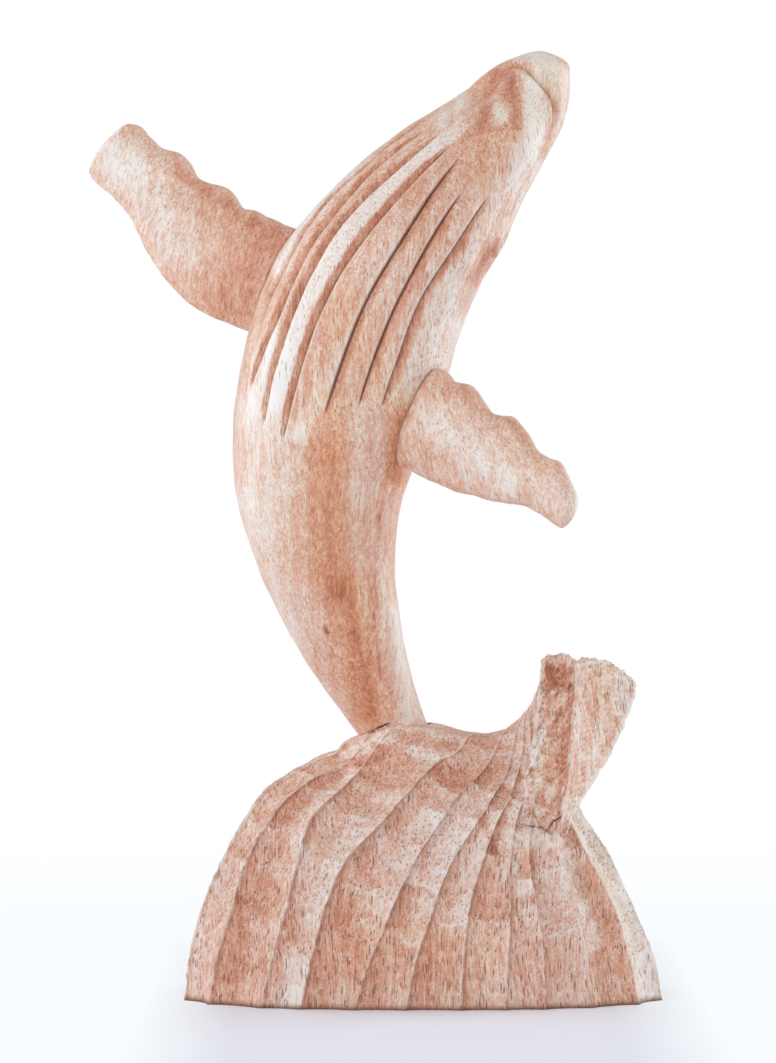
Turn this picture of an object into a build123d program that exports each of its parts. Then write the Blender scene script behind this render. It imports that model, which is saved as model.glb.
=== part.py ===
from build123d import *
import os
from math import cos, radians, sin

# A humpback whale leaping from a wave, carved in wood, in millimetres. The front faces -Y, +Z is up,
# and the origin is the middle of the base's underside. Angles are in degrees.

# The whole piece
overall_height = 300.0
seat_height = 82.0
stub_height = 4.0
tail_offset = -11.0

# The whale's body
body_half_width = 35.7
body_flatness_share = 0.86
body_lean = 48.0
body_bow = 9.0
belly_roll = 28.0

# The wave under the whale, whose top stands above the tail's seat by its rise
wave_left = 77.3
wave_right = 76.6
wave_front = 42.0
wave_back = 42.0
wave_rise = 3.0
flute_depth_share = 0.1

# The crest that curls up at the wave's right end
crest_foot_height = 55.0
crest_top_height = 107.0
crest_left = 27.0
crest_right = 67.0
crest_front = 37.0
crest_back = 20.0

# The two flippers
left_flipper_length = 61.6
right_flipper_length = 77.0
flipper_half_chord = 17.5
flipper_thickness = 13.0
flipper_seat_depth = 5.0
flipper_lip = 2.5

# The hidden pegs and the tail's dowel
peg_radius = 3.0
peg_length = 24.0
dowel_radius = 5.0
dowel_length = 40.0
hole_clearance = 0.1
hole_end_gap = 0.5
seat_clearance = 0.25

# Carved lines and small features
groove_depth = 1.4
groove_half_width = 1.2
mouth_depth = 1.2
mouth_half_width = 0.9
cut_lift = 1.2
cut_start_share = 0.1
cut_fade_share = 0.33
groove_steps = 9
mouth_steps = 18
eye_socket_radius = 2.8
eye_radius = 1.9
eye_sink = 1.6
fin_length = 26.0
fin_height = 7.0
fin_thickness = 4.0
fin_crest_share = 0.125
cut_overrun = 16.0

# Rows of the body from the tail to the snout: height share of the rise, sideways share of the lean,
# forward share of the bow, and half width share of the widest
body_shares = [
    (0.000, 0.000, 0.00, 0.346),
    (0.065, -0.156, 0.20, 0.432),
    (0.154, -0.315, 0.50, 0.539),
    (0.243, -0.425, 0.75, 0.637),
    (0.332, -0.458, 0.93, 0.752),
    (0.421, -0.398, 1.00, 0.876),
    (0.523, -0.302, 0.95, 0.951),
    (0.617, -0.175, 0.80, 0.974),
    (0.710, 0.025, 0.50, 1.000),
    (0.776, 0.208, 0.25, 0.922),
    (0.832, 0.408, 0.00, 0.836),
    (0.888, 0.633, -0.25, 0.703),
    (0.930, 0.812, -0.40, 0.519),
    (0.965, 0.908, -0.50, 0.392),
    (0.986, 0.967, -0.55, 0.290),
    (1.000, 0.990, -0.57, 0.160),
]

# Each throat groove: height share of the rise, and angle round the body from the left side (0) over
# the belly (90) to the right side (180)
groove_shares = [
    [(0.916, 125), (0.800, 128), (0.700, 125), (0.595, 128)],
    [(0.897, 107), (0.820, 111), (0.700, 111), (0.590, 114), (0.491, 125)],
    [(0.883, 89), (0.790, 97), (0.670, 102), (0.550, 105), (0.437, 109)],
    [(0.870, 74), (0.780, 78), (0.660, 85), (0.540, 89), (0.414, 93)],
    [(0.849, 62), (0.740, 61), (0.640, 64), (0.540, 67), (0.452, 70)],
    [(0.801, 43), (0.720, 46), (0.630, 47), (0.540, 50), (0.462, 52)],
    [(0.793, 24), (0.720, 29), (0.630, 34), (0.540, 36), (0.462, 38)],
]

# The mouth line on the left side, from the chin to the corner below the eye; the right side mirrors it
mouth_shares = [
    (0.972, 90),
    (0.968, 73),
    (0.958, 58),
    (0.942, 40),
    (0.922, 22),
    (0.898, 10),
    (0.862, 1),
    (0.820, -2),
    (0.780, -3),
    (0.742, -8),
]

# Places on the body: height share of the rise and angle round it
left_flipper_place_shares = (0.453, 7)
right_flipper_place_shares = (0.659, 173)
eye_place_shares = (0.712, -16)
fin_place_shares = (0.300, 270)

# Height share at which the dowel's axis crosses the middle of the tail
dowel_share = 0.0234

# Directions in which the flippers reach out, as shares along X, Y and Z
left_flipper_reach_shares = (0.786, -0.418, -0.455)
right_flipper_reach_shares = (-0.707, 0.370, 0.602)

# Rows of each flipper: span share of its length, leading and trailing edge shares of the half chord,
# and thickness share
left_flipper_rows_shares = [
    (0.00, 0.98, -0.90, 1.00),
    (0.11, 0.90, -0.88, 0.96),
    (0.19, 0.96, -0.86, 0.92),
    (0.30, 0.80, -0.83, 0.86),
    (0.37, 0.74, -0.80, 0.82),
    (0.46, 0.84, -0.73, 0.78),
    (0.56, 0.72, -0.66, 0.72),
    (0.66, 0.52, -0.55, 0.66),
    (0.74, 0.50, -0.45, 0.60),
    (0.81, 0.53, -0.44, 0.55),
    (0.88, 0.36, -0.46, 0.50),
    (0.94, 0.20, -0.50, 0.44),
    (0.985, 0.06, -0.47, 0.34),
    (1.00, -0.08, -0.34, 0.18),
]
right_flipper_rows_shares = [
    (0.00, 1.04, -1.02, 1.00),
    (0.085, 0.95, -1.14, 0.96),
    (0.16, 0.86, -1.24, 0.92),
    (0.235, 0.79, -1.29, 0.88),
    (0.30, 0.68, -1.29, 0.84),
    (0.365, 0.76, -1.25, 0.80),
    (0.43, 0.78, -1.17, 0.76),
    (0.55, 0.60, -1.02, 0.70),
    (0.63, 0.71, -0.86, 0.65),
    (0.70, 0.73, -0.75, 0.60),
    (0.77, 0.62, -0.69, 0.55),
    (0.85, 0.62, -0.67, 0.50),
    (0.92, 0.66, -0.66, 0.44),
    (0.97, 0.56, -0.60, 0.36),
    (1.00, 0.34, -0.46, 0.26),
]

# Span share over which a flipper turns from square to the body's skin to its own direction
turn_share = 0.4

# Levels of the wave: height share, then left, right, front and back reach shares
wave_level_shares = [
    (0.000, 1.000, 1.000, 1.00, 1.00),
    (0.176, 0.979, 0.961, 0.99, 0.98),
    (0.353, 0.926, 0.876, 0.95, 0.93),
    (0.529, 0.839, 0.785, 0.89, 0.86),
    (0.670, 0.748, 0.681, 0.81, 0.77),
    (0.776, 0.660, 0.620, 0.70, 0.66),
    (0.870, 0.500, 0.560, 0.56, 0.52),
    (0.941, 0.360, 0.520, 0.42, 0.38),
    (1.000, 0.290, 0.500, 0.30, 0.28),
]

# Where each ridge between two flutes stands at those levels, as a share of the left reach when
# negative and of the right reach when positive, from left to right
ridge_shares = [
    (-0.877, -0.845, -0.785, -0.725, -0.640, -0.537, -0.395, -0.300, -0.240),
    (-0.664, -0.620, -0.565, -0.515, -0.472, -0.375, -0.280, -0.210, -0.140),
    (-0.501, -0.462, -0.409, -0.330, -0.185, -0.075, 0.030, 0.130, 0.170),
    (-0.285, -0.225, -0.140, -0.050, 0.055, 0.135, 0.228, 0.280, 0.310),
    (-0.080, -0.040, 0.025, 0.105, 0.205, 0.280, 0.340, 0.362, 0.375),
    (0.146, 0.153, 0.175, 0.230, 0.290, 0.350, 0.390, 0.403, 0.405),
    (0.326, 0.332, 0.345, 0.345, 0.370, 0.410, 0.435, 0.433, 0.430),
    (0.488, 0.479, 0.459, 0.426, 0.430, 0.455, 0.470, 0.460, 0.450),
    (0.680, 0.660, 0.620, 0.560, 0.515, 0.505, 0.500, 0.480, 0.470),
    (0.875, 0.838, 0.778, 0.680, 0.600, 0.555, 0.525, 0.500, 0.485),
]
side_ridge_share = 0.33
wave_squareness = 2.6

# Levels of the crest: height share of its rise, then left and right shares of its width and front and
# back shares of its reach
crest_level_shares = [
    (0.00, 0.020, 0.460, 0.97, 0.85),
    (0.16, 0.010, 0.525, 0.97, 0.95),
    (0.32, 0.040, 0.650, 0.88, 1.00),
    (0.52, 0.000, 0.800, 0.76, 0.96),
    (0.71, 0.150, 0.915, 0.64, 0.86),
    (0.87, 0.240, 0.985, 0.55, 0.75),
    (0.97, 0.265, 0.980, 0.49, 0.63),
    (1.00, 0.275, 0.930, 0.46, 0.56),
]

# Ridges round the crest: share across its width from the left, and share of the front reach when
# negative or of the back reach when positive; then how deep the hollow after it is cut
crest_ridge_shares = [
    (0.00, -0.70, 0.20),
    (0.50, -1.00, 0.10),
    (0.88, -0.70, 0.08),
    (1.00, 0.10, 0.10),
    (0.75, 0.85, 0.12),
    (0.30, 1.00, 0.12),
    (0.00, 0.30, 0.08),
]

# Values that follow from the sizes above
wave_height = seat_height + wave_rise
stub_top = seat_height + stub_height
body_rise = overall_height - stub_top
lateral = Vector(cos(radians(belly_roll)), -sin(radians(belly_roll)), 0)
belly = Vector(-sin(radians(belly_roll)), -cos(radians(belly_roll)), 0)
toward_front = Vector(0, -1, 0)


def smooth(rows, place):
    """The row at a place along a table, on a smooth curve through the table's rows."""
    last = len(rows) - 1
    place = min(max(place, rows[0][0]), rows[last][0])
    i = min(max(k for k in range(last + 1) if rows[k][0] <= place), last - 1)
    before, start, end, after = rows[max(i - 1, 0)], rows[i], rows[i + 1], rows[min(i + 2, last)]
    step = end[0] - start[0]
    t = (place - start[0]) / step
    row = []
    for a, b, c, d in zip(before[1:], start[1:], end[1:], after[1:]):
        slope_in = (c - a) / (end[0] - before[0]) * step
        slope_out = (d - b) / (after[0] - start[0]) * step
        bend_in = (t**3 - 2 * t**2 + t) * slope_in
        bend_out = (t**3 - t**2) * slope_out
        row.append(b + (3 * t**2 - 2 * t**3) * (c - b) + bend_in + bend_out)
    return row


def body_point(share, angle, grow=0.0):
    """A point on the body's skin at a height share and an angle round it, or outside it by grow."""
    sideways, forward, width = smooth(body_shares, share)
    across = width * body_half_width + grow
    deep = width * body_half_width * body_flatness_share + grow
    centre = Vector(tail_offset + sideways * body_lean, -forward * body_bow, stub_top + share * body_rise)
    return centre + lateral * (across * cos(radians(angle))) + belly * (deep * sin(radians(angle)))


def body_normal(share, angle):
    """The direction straight out of the body's skin."""
    share_step, angle_step = 0.004, 1
    up = body_point(share + share_step, angle) - body_point(share - share_step, angle)
    around = body_point(share, angle - angle_step) - body_point(share, angle + angle_step)
    return around.cross(up).normalized()


def body_outline(share, grow=0.0):
    """Four quarters of an ellipse round the body at one height, drawn on the active sketch's line."""
    sideways, forward, width = smooth(body_shares, share)
    across = width * body_half_width + grow
    deep = width * body_half_width * body_flatness_share + grow
    centre = (tail_offset + sideways * body_lean, -forward * body_bow)
    for quarter in range(4):
        EllipticalCenterArc(centre, across, deep, quarter * 90, rotation=-belly_roll)


def along_path(path, part):
    """The height share and angle at a part of the way along a path of such places."""
    rows = [(k, *place) for k, place in enumerate(path)]
    return smooth(rows, part * (len(path) - 1))


def v_cutter(path, depth, half_width, steps):
    """A V-shaped cutter that follows the body's skin and fades out at both ends."""
    places = [along_path(path, i / steps) for i in range(steps + 1)]
    with BuildPart() as cutter:
        for i, place in enumerate(places):
            ahead, behind = places[min(i + 1, steps)], places[max(i - 1, 0)]
            along = (body_point(*ahead) - body_point(*behind)).normalized()
            side = body_normal(*place).cross(along).normalized()
            fade = min(i, steps - i) / steps / cut_fade_share
            deep = depth * min(1.0, cut_start_share + fade)
            wide = half_width / depth * (deep + cut_lift)
            with BuildSketch(Plane(origin=body_point(*place), x_dir=side, z_dir=along)):
                with BuildLine():
                    Polyline((0, -deep), (wide, cut_lift), (-wide, cut_lift), close=True)
                make_face()
        loft(ruled=True)
    return cutter.part


def mirrored(path):
    """The same path on the body's right side."""
    return [(share, 180 - angle) for share, angle in path]


def flipper_plane(place, reach, leading_sign):
    """A flipper's own plane: X reaches out along it, Y points to its leading edge, Z faces the front."""
    root = body_point(*place)
    reach = Vector(*reach).normalized()
    face = (toward_front - reach * toward_front.dot(reach)).normalized()
    return Plane(origin=root, x_dir=reach, z_dir=face * leading_sign)


def cross_plane(place, plane, share, length):
    """The plane across a flipper at a span share, which turns from the skin's normal to its reach."""
    turned = min(1.0, share / turn_share)
    across = (body_normal(*place) * (1 - turned) + plane.x_dir * turned).normalized()
    return Plane(origin=plane.origin + plane.x_dir * share * length, x_dir=plane.y_dir, z_dir=across)


def seat_plane(place, plane, distance):
    """The plane of a flipper's flat seat in the body, raised by a distance along the skin's normal."""
    normal = body_normal(*place)
    return Plane(origin=plane.origin + normal * distance, x_dir=plane.y_dir, z_dir=normal)


def flipper_section(row, grow=0.0):
    """One cross section of a flipper, sketched on the active plane."""
    leading, trailing = row[1] * flipper_half_chord, row[2] * flipper_half_chord
    with Locations(((leading + trailing) / 2, 0)):
        Ellipse((leading - trailing) / 2 + grow, row[3] * flipper_thickness / 2 + grow)


def flipper(place, plane, length, rows):
    """A flipper with its flat root, made from the seat outwards, with the peg's blind hole."""
    with BuildPart() as piece:
        with BuildSketch(seat_plane(place, plane, -flipper_seat_depth)):
            flipper_section(rows[0])
        extrude(amount=flipper_seat_depth + flipper_lip)
        with BuildSketch(seat_plane(place, plane, flipper_lip)):
            flipper_section(rows[0])
        for row in rows[1:]:
            with BuildSketch(cross_plane(place, plane, row[0], length)):
                flipper_section(row)
        loft()
        with BuildSketch(seat_plane(place, plane, -flipper_seat_depth)):
            Circle(peg_radius + hole_clearance)
        extrude(amount=peg_length / 2 + hole_end_gap, mode=Mode.SUBTRACT)
    return piece.part


def flipper_socket(place, plane, rows):
    """What is cut from the body for a flipper: its flat pocket and the peg's blind hole below it."""
    with BuildPart() as cutter:
        with BuildSketch(seat_plane(place, plane, -flipper_seat_depth)):
            flipper_section(rows[0], seat_clearance)
        extrude(amount=flipper_seat_depth + cut_overrun)
        with BuildSketch(seat_plane(place, plane, -flipper_seat_depth)):
            Circle(peg_radius + hole_clearance)
        extrude(amount=-(peg_length / 2 + hole_end_gap))
    return cutter.part


def peg(place, plane):
    """The round peg that crosses a flipper's seat."""
    with BuildPart() as piece:
        with BuildSketch(seat_plane(place, plane, -flipper_seat_depth - peg_length / 2)):
            Circle(peg_radius)
        extrude(amount=peg_length)
    return piece.part


def hollow_ring(corners, hollows):
    """A closed outline of hollow arcs between ridges, each as deep as its share of the chord."""
    for i, (start, share) in enumerate(zip(corners, hollows)):
        end = corners[(i + 1) % len(corners)]
        middle_x = (start[0] + end[0]) / 2 - (end[1] - start[1]) * share
        middle_y = (start[1] + end[1]) / 2 + (end[0] - start[0]) * share
        ThreePointArc(start, (middle_x, middle_y), end)


def wave_corners(level):
    """The ridges' places round the wave at one of its levels, from the front left."""
    left, right, front, back = wave_level_shares[level][1:]
    low_x, high_x = -left * wave_left, right * wave_right
    middle_x, half_x = (low_x + high_x) / 2, (high_x - low_x) / 2

    def reach(share):
        return (1 - abs(share) ** wave_squareness) ** (1 / wave_squareness)

    ridges = [row[level] * (wave_left if row[level] < 0 else wave_right) for row in ridge_shares]
    fronts = [(x, -front * wave_front * reach((x - middle_x) / half_x)) for x in ridges]
    backs = [(x, back * wave_back * reach((x - middle_x) / half_x)) for x in reversed(ridges)]
    side = half_x * reach(side_ridge_share)
    front_y, back_y = -side_ridge_share * front * wave_front, side_ridge_share * back * wave_back
    rights = [(middle_x + side, front_y), (middle_x + side, back_y)]
    lefts = [(middle_x - side, back_y), (middle_x - side, front_y)]
    return fronts + rights + backs + lefts


def crest_corners(level):
    """The ridges' places round the crest at one of its levels."""
    left, right, front, back = level[1:]
    width = crest_right - crest_left
    corners = []
    for across, reach, _ in crest_ridge_shares:
        x = crest_left + width * (left + across * (right - left))
        corners.append((x, reach * (front * crest_front if reach < 0 else back * crest_back)))
    return corners


left_plane = flipper_plane(left_flipper_place_shares, left_flipper_reach_shares, 1)
right_plane = flipper_plane(right_flipper_place_shares, right_flipper_reach_shares, -1)
dowel_centre = (body_point(dowel_share, 0) + body_point(dowel_share, 180)) / 2
dowel_place = (dowel_centre.X, dowel_centre.Y)

# The wave and its crest are one block, planed and pocketed for the tail
with BuildPart() as wave_base:
    for level, row in enumerate(wave_level_shares):
        with BuildSketch(Plane.XY.offset(row[0] * wave_height)):
            with BuildLine():
                corners = wave_corners(level)
                hollow_ring(corners, [flute_depth_share] * len(corners))
            make_face()
    loft(ruled=True)
    for row in crest_level_shares:
        crest_height = crest_foot_height + row[0] * (crest_top_height - crest_foot_height)
        with BuildSketch(Plane.XY.offset(crest_height)):
            with BuildLine():
                hollow_ring(crest_corners(row), [hollow for _, _, hollow in crest_ridge_shares])
            make_face()
    loft(ruled=True)
    with BuildSketch(Plane.XY.offset(seat_height)):
        with BuildLine():
            body_outline(0, seat_clearance)
        make_face()
    extrude(amount=cut_overrun, mode=Mode.SUBTRACT)
    with BuildSketch(Plane.XY.offset(seat_height)):
        with Locations(dowel_place):
            Circle(dowel_radius + hole_clearance)
    extrude(amount=-(dowel_length / 2 + hole_end_gap), mode=Mode.SUBTRACT)
wave_base.part.label = "wave_base"

# The body, with its grooves, mouth, eyes and fin carved in the same block
grooves = [v_cutter(path, groove_depth, groove_half_width, groove_steps) for path in groove_shares]
mouth_paths = (mouth_shares, mirrored(mouth_shares))
mouths = [v_cutter(path, mouth_depth, mouth_half_width, mouth_steps) for path in mouth_paths]
sockets = [
    flipper_socket(left_flipper_place_shares, left_plane, left_flipper_rows_shares),
    flipper_socket(right_flipper_place_shares, right_plane, right_flipper_rows_shares),
]
fin_out = body_normal(*fin_place_shares)
fin_side = fin_out.cross(Vector(0, 0, 1)).normalized()
fin_plane = Plane(origin=body_point(*fin_place_shares), x_dir=fin_out.cross(fin_side), z_dir=fin_side)

with BuildPart() as whale_body:
    with BuildSketch(Plane.XY.offset(seat_height)):
        with BuildLine():
            body_outline(0)
        make_face()
    extrude(amount=stub_height)
    for row in body_shares:
        with BuildSketch(Plane.XY.offset(stub_top + row[0] * body_rise)):
            with BuildLine():
                body_outline(row[0])
            make_face()
    loft()
    with BuildSketch(fin_plane):
        with BuildLine():
            low, high = -fin_length / 2, fin_length / 2
            Polyline((low, 0), (low, -fin_height), (high, -fin_height), (high, 0))
            Spline((high, 0), (fin_crest_share * fin_length, fin_height), (low, 0))
        make_face()
    extrude(amount=fin_thickness / 2, both=True)
    for cutter in grooves + mouths + sockets:
        add(cutter, mode=Mode.SUBTRACT)
    for eye in (eye_place_shares, *mirrored([eye_place_shares])):
        with Locations(Plane(origin=body_point(*eye), z_dir=body_normal(*eye))):
            Sphere(eye_socket_radius, mode=Mode.SUBTRACT)
        with Locations(Plane(origin=body_point(*eye, grow=-eye_sink), z_dir=body_normal(*eye))):
            Sphere(eye_radius)
    with BuildSketch(Plane.XY.offset(seat_height)):
        with Locations(dowel_place):
            Circle(dowel_radius + hole_clearance)
    extrude(amount=dowel_length / 2 + hole_end_gap, mode=Mode.SUBTRACT)
whale_body.part.label = "whale_body"

with BuildPart() as tail_dowel:
    with BuildSketch(Plane.XY.offset(seat_height - dowel_length / 2)):
        with Locations(dowel_place):
            Circle(dowel_radius)
    extrude(amount=dowel_length)
tail_dowel.part.label = "tail_dowel"

left_flipper = flipper(
    left_flipper_place_shares, left_plane, left_flipper_length, left_flipper_rows_shares
)
right_flipper = flipper(
    right_flipper_place_shares, right_plane, right_flipper_length, right_flipper_rows_shares
)
left_flipper_peg = peg(left_flipper_place_shares, left_plane)
right_flipper_peg = peg(right_flipper_place_shares, right_plane)

os.makedirs("parts", exist_ok=True)
pieces = {
    "wave_base": wave_base.part,
    "whale_body": whale_body.part,
    "tail_dowel": tail_dowel.part,
    "left_flipper": left_flipper,
    "right_flipper": right_flipper,
    "left_flipper_peg": left_flipper_peg,
    "right_flipper_peg": right_flipper_peg,
}
for name, piece in pieces.items():
    piece.label = name
    export_step(piece, f"parts/{name}.step")
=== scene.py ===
"""A carved wooden whale that leaps from a wave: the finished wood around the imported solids.

Lengths are typed in carved millimetres times mm, which the frame's height gives. Angles round the whale's
body run from its left side (0) over the belly (90) to its right side (180), in degrees.
"""

import bmesh
import bpy
import numpy as np
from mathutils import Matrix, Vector
from mathutils.kdtree import KDTree


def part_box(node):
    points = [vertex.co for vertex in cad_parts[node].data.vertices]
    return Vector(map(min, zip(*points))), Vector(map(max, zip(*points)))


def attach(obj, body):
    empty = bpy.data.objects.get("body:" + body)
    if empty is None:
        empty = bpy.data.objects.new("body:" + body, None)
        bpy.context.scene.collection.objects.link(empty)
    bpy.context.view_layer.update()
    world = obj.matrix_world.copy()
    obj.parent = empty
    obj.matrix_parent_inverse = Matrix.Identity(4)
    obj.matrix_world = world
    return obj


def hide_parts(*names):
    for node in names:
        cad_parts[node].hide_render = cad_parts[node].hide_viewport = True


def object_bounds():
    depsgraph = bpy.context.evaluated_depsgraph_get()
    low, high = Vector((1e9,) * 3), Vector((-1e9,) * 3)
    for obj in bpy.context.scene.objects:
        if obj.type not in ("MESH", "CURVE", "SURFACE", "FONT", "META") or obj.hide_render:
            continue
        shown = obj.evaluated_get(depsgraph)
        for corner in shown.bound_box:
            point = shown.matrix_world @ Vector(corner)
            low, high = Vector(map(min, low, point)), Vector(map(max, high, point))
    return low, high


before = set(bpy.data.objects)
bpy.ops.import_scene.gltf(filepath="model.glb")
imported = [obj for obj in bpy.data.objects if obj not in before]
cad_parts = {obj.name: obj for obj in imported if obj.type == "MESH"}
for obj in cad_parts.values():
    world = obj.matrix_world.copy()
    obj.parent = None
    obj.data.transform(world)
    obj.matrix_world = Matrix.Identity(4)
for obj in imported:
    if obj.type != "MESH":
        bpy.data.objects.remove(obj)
cad_low, cad_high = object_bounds()

carved_height = 300.0
mm = cad_high.z / carved_height

# Where someone who looks at the front stands: distance, and place to the right and up
viewer_distance = 1550 * mm
viewer_place = np.array([-11.5, 177.4]) * mm

# The whale's body: where it stands, how it leans and how wide it is
seat_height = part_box("whale_body")[0].z
stub_height = 4.0 * mm
stub_top = seat_height + stub_height
body_rise = cad_high.z - stub_top
tail_offset = -11.0 * mm
body_half_width = 35.7 * mm
body_flatness = 0.86
body_lean = 48.0 * mm
body_bow = 9.0 * mm
belly_roll = np.radians(28)
lateral = np.array([np.cos(belly_roll), -np.sin(belly_roll), 0])
belly = np.array([-np.sin(belly_roll), -np.cos(belly_roll), 0])

# Height share of the rise, sideways share of the lean, forward share of the bow, half width share
body_shares = [
    (0.000, 0.000, 0.00, 0.346),
    (0.065, -0.156, 0.20, 0.432),
    (0.154, -0.315, 0.50, 0.539),
    (0.243, -0.425, 0.75, 0.637),
    (0.332, -0.458, 0.93, 0.752),
    (0.421, -0.398, 1.00, 0.876),
    (0.523, -0.302, 0.95, 0.951),
    (0.617, -0.175, 0.80, 0.974),
    (0.710, 0.025, 0.50, 1.000),
    (0.776, 0.208, 0.25, 0.922),
    (0.832, 0.408, 0.00, 0.836),
    (0.888, 0.633, -0.25, 0.703),
    (0.930, 0.812, -0.40, 0.519),
    (0.965, 0.908, -0.50, 0.392),
    (0.986, 0.967, -0.55, 0.290),
    (1.000, 0.990, -0.57, 0.160),
]
snout_round_share = 0.974
foot_slopes = (-2.2, 1.2)
share_step = 0.004

# Throat grooves from the whale's left to its right: height share and angle, from the lower end up, then
# the side that slopes gently, 1 towards the whale's right and -1 towards its left
grooves = [
    ([(0.462, 38), (0.540, 36), (0.630, 34), (0.720, 29), (0.793, 24)], -1),
    ([(0.462, 52), (0.540, 50), (0.630, 47), (0.720, 46), (0.801, 43)], -1),
    ([(0.452, 70), (0.540, 67), (0.640, 64), (0.740, 61), (0.849, 62)], -1),
    ([(0.414, 93), (0.540, 89), (0.660, 85), (0.780, 78), (0.870, 74)], 1),
    ([(0.437, 109), (0.550, 105), (0.670, 102), (0.790, 97), (0.883, 89)], 1),
    ([(0.491, 125), (0.590, 114), (0.700, 111), (0.820, 111), (0.897, 107)], 1),
    ([(0.595, 128), (0.700, 125), (0.800, 128), (0.916, 125)], 1),
]
groove_depth = 1.5 * mm
groove_slope_width = 3.0 * mm
groove_wall_width = 0.55 * mm
strip_bulge = 0.55 * mm
throat_sides = (11, 143)
strip_columns = (11, 16, 16, 16, 16, 16, 14, 9)

# How pale each strip beside the grooves is, from the whale's left side to its right
strip_tones = (0.5, 0.25, 0.05, -0.05, 1.0, 0.0, 0.0, -0.15)

# The mouth line on the whale's left, from its corner up to the chin: height share and angle
mouth_shares = [
    (0.742, -8),
    (0.780, -3),
    (0.820, -2),
    (0.862, 1),
    (0.898, 10),
    (0.922, 22),
    (0.942, 40),
    (0.958, 58),
    (0.968, 73),
    (0.972, 90),
]
mouth_step = 1.7 * mm
eye_place = (0.712, -16)
eye_radius = 1.9 * mm
fin_place = (0.300, 270)
fin_length = 26.0 * mm
fin_height = 7.0 * mm

# Shallow dents in the front of the head: distances to the right and up, half widths, depth, and how far to
# the back the skin there may face
front_dents = [
    (21.3, 281, 3.2, 5.0, 0.55, 0.0),
    (18.0, 230, 2.4, 7.5, 0.80, 0.3),
]

# The flippers: place on the body, direction of reach, length, which way the leading edge lies, and rows of
# span share, leading and trailing edge share of the half chord, and thickness share
left_flipper_place = (0.453, 7)
right_flipper_place = (0.659, 173)
left_flipper_reach = (0.797, -0.418, -0.436)
right_flipper_reach = (-0.713, 0.370, 0.590)
left_flipper_length = 61.6 * mm
right_flipper_length = 77.0 * mm
flipper_half_chord = 17.5 * mm
flipper_half_thickness = 6.5 * mm
flipper_seat_depth = 5.0 * mm
flipper_lip = 2.5 * mm
turn_share = 0.4
flipper_tip_share = 0.965
flipper_edge_bluntness = 0.72
left_flipper_rows = [
    (0.00, 0.98, -0.90, 1.00),
    (0.11, 0.90, -0.88, 0.96),
    (0.19, 0.96, -0.86, 0.92),
    (0.30, 0.80, -0.83, 0.86),
    (0.37, 0.74, -0.80, 0.82),
    (0.46, 0.84, -0.73, 0.78),
    (0.56, 0.72, -0.66, 0.72),
    (0.66, 0.52, -0.55, 0.66),
    (0.74, 0.50, -0.45, 0.60),
    (0.81, 0.53, -0.44, 0.55),
    (0.88, 0.36, -0.46, 0.50),
    (0.94, 0.20, -0.50, 0.44),
    (0.985, 0.06, -0.47, 0.34),
    (1.00, -0.08, -0.34, 0.18),
]
right_flipper_rows = [
    (0.00, 1.04, -1.02, 1.00),
    (0.085, 0.95, -1.14, 0.96),
    (0.16, 0.86, -1.24, 0.92),
    (0.235, 0.79, -1.29, 0.88),
    (0.30, 0.68, -1.29, 0.84),
    (0.365, 0.76, -1.25, 0.80),
    (0.43, 0.78, -1.17, 0.76),
    (0.55, 0.60, -1.02, 0.70),
    (0.63, 0.71, -0.86, 0.65),
    (0.70, 0.73, -0.75, 0.60),
    (0.77, 0.62, -0.69, 0.55),
    (0.85, 0.62, -0.67, 0.50),
    (0.92, 0.66, -0.66, 0.44),
    (0.97, 0.56, -0.60, 0.36),
    (1.00, 0.34, -0.46, 0.26),
]

# The wave: its reaches, and at each level a height share with left, right, front and back reach shares
wave_height = 85.0 * mm
wave_left = 77.3 * mm
wave_right = 76.6 * mm
wave_depth = 42.0 * mm
wave_squareness = 2.6
wave_levels = [
    (0.000, 1.000, 1.000, 1.00, 1.00),
    (0.176, 0.979, 0.961, 0.99, 0.98),
    (0.353, 0.926, 0.876, 0.95, 0.93),
    (0.529, 0.839, 0.785, 0.89, 0.86),
    (0.670, 0.748, 0.681, 0.81, 0.77),
    (0.776, 0.660, 0.620, 0.70, 0.66),
    (0.870, 0.500, 0.560, 0.56, 0.52),
    (0.941, 0.395, 0.520, 0.42, 0.38),
    (1.000, 0.335, 0.500, 0.30, 0.28),
]

# Where each ridge between two flutes stands at those levels, as a share of the left reach when negative
# and of the right reach when positive; its last value is where it crosses the top
ridges = [
    (-0.877, -0.845, -0.785, -0.725, -0.640, -0.537, -0.395, -0.300, -0.240, -0.22),
    (-0.664, -0.620, -0.565, -0.515, -0.472, -0.375, -0.280, -0.210, -0.140, -0.05),
    (-0.501, -0.462, -0.409, -0.330, -0.185, -0.075, 0.030, 0.130, 0.170, 0.21),
    (-0.285, -0.225, -0.140, -0.050, 0.055, 0.135, 0.228, 0.280, 0.310, 0.34),
    (-0.080, -0.040, 0.025, 0.105, 0.205, 0.280, 0.340, 0.362, 0.375, 0.40),
    (0.146, 0.153, 0.175, 0.230, 0.290, 0.350, 0.390, 0.403, 0.405, 0.43),
    (0.326, 0.332, 0.345, 0.345, 0.370, 0.410, 0.435, 0.433, 0.430, 0.45),
    (0.488, 0.479, 0.459, 0.426, 0.430, 0.455, 0.470, 0.460, 0.450, 0.46),
    (0.680, 0.660, 0.620, 0.560, 0.515, 0.505, 0.500, 0.480, 0.470, 0.475),
    (0.875, 0.838, 0.778, 0.680, 0.600, 0.555, 0.525, 0.500, 0.485, 0.487),
]
side_ridge_share = 0.33

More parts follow.
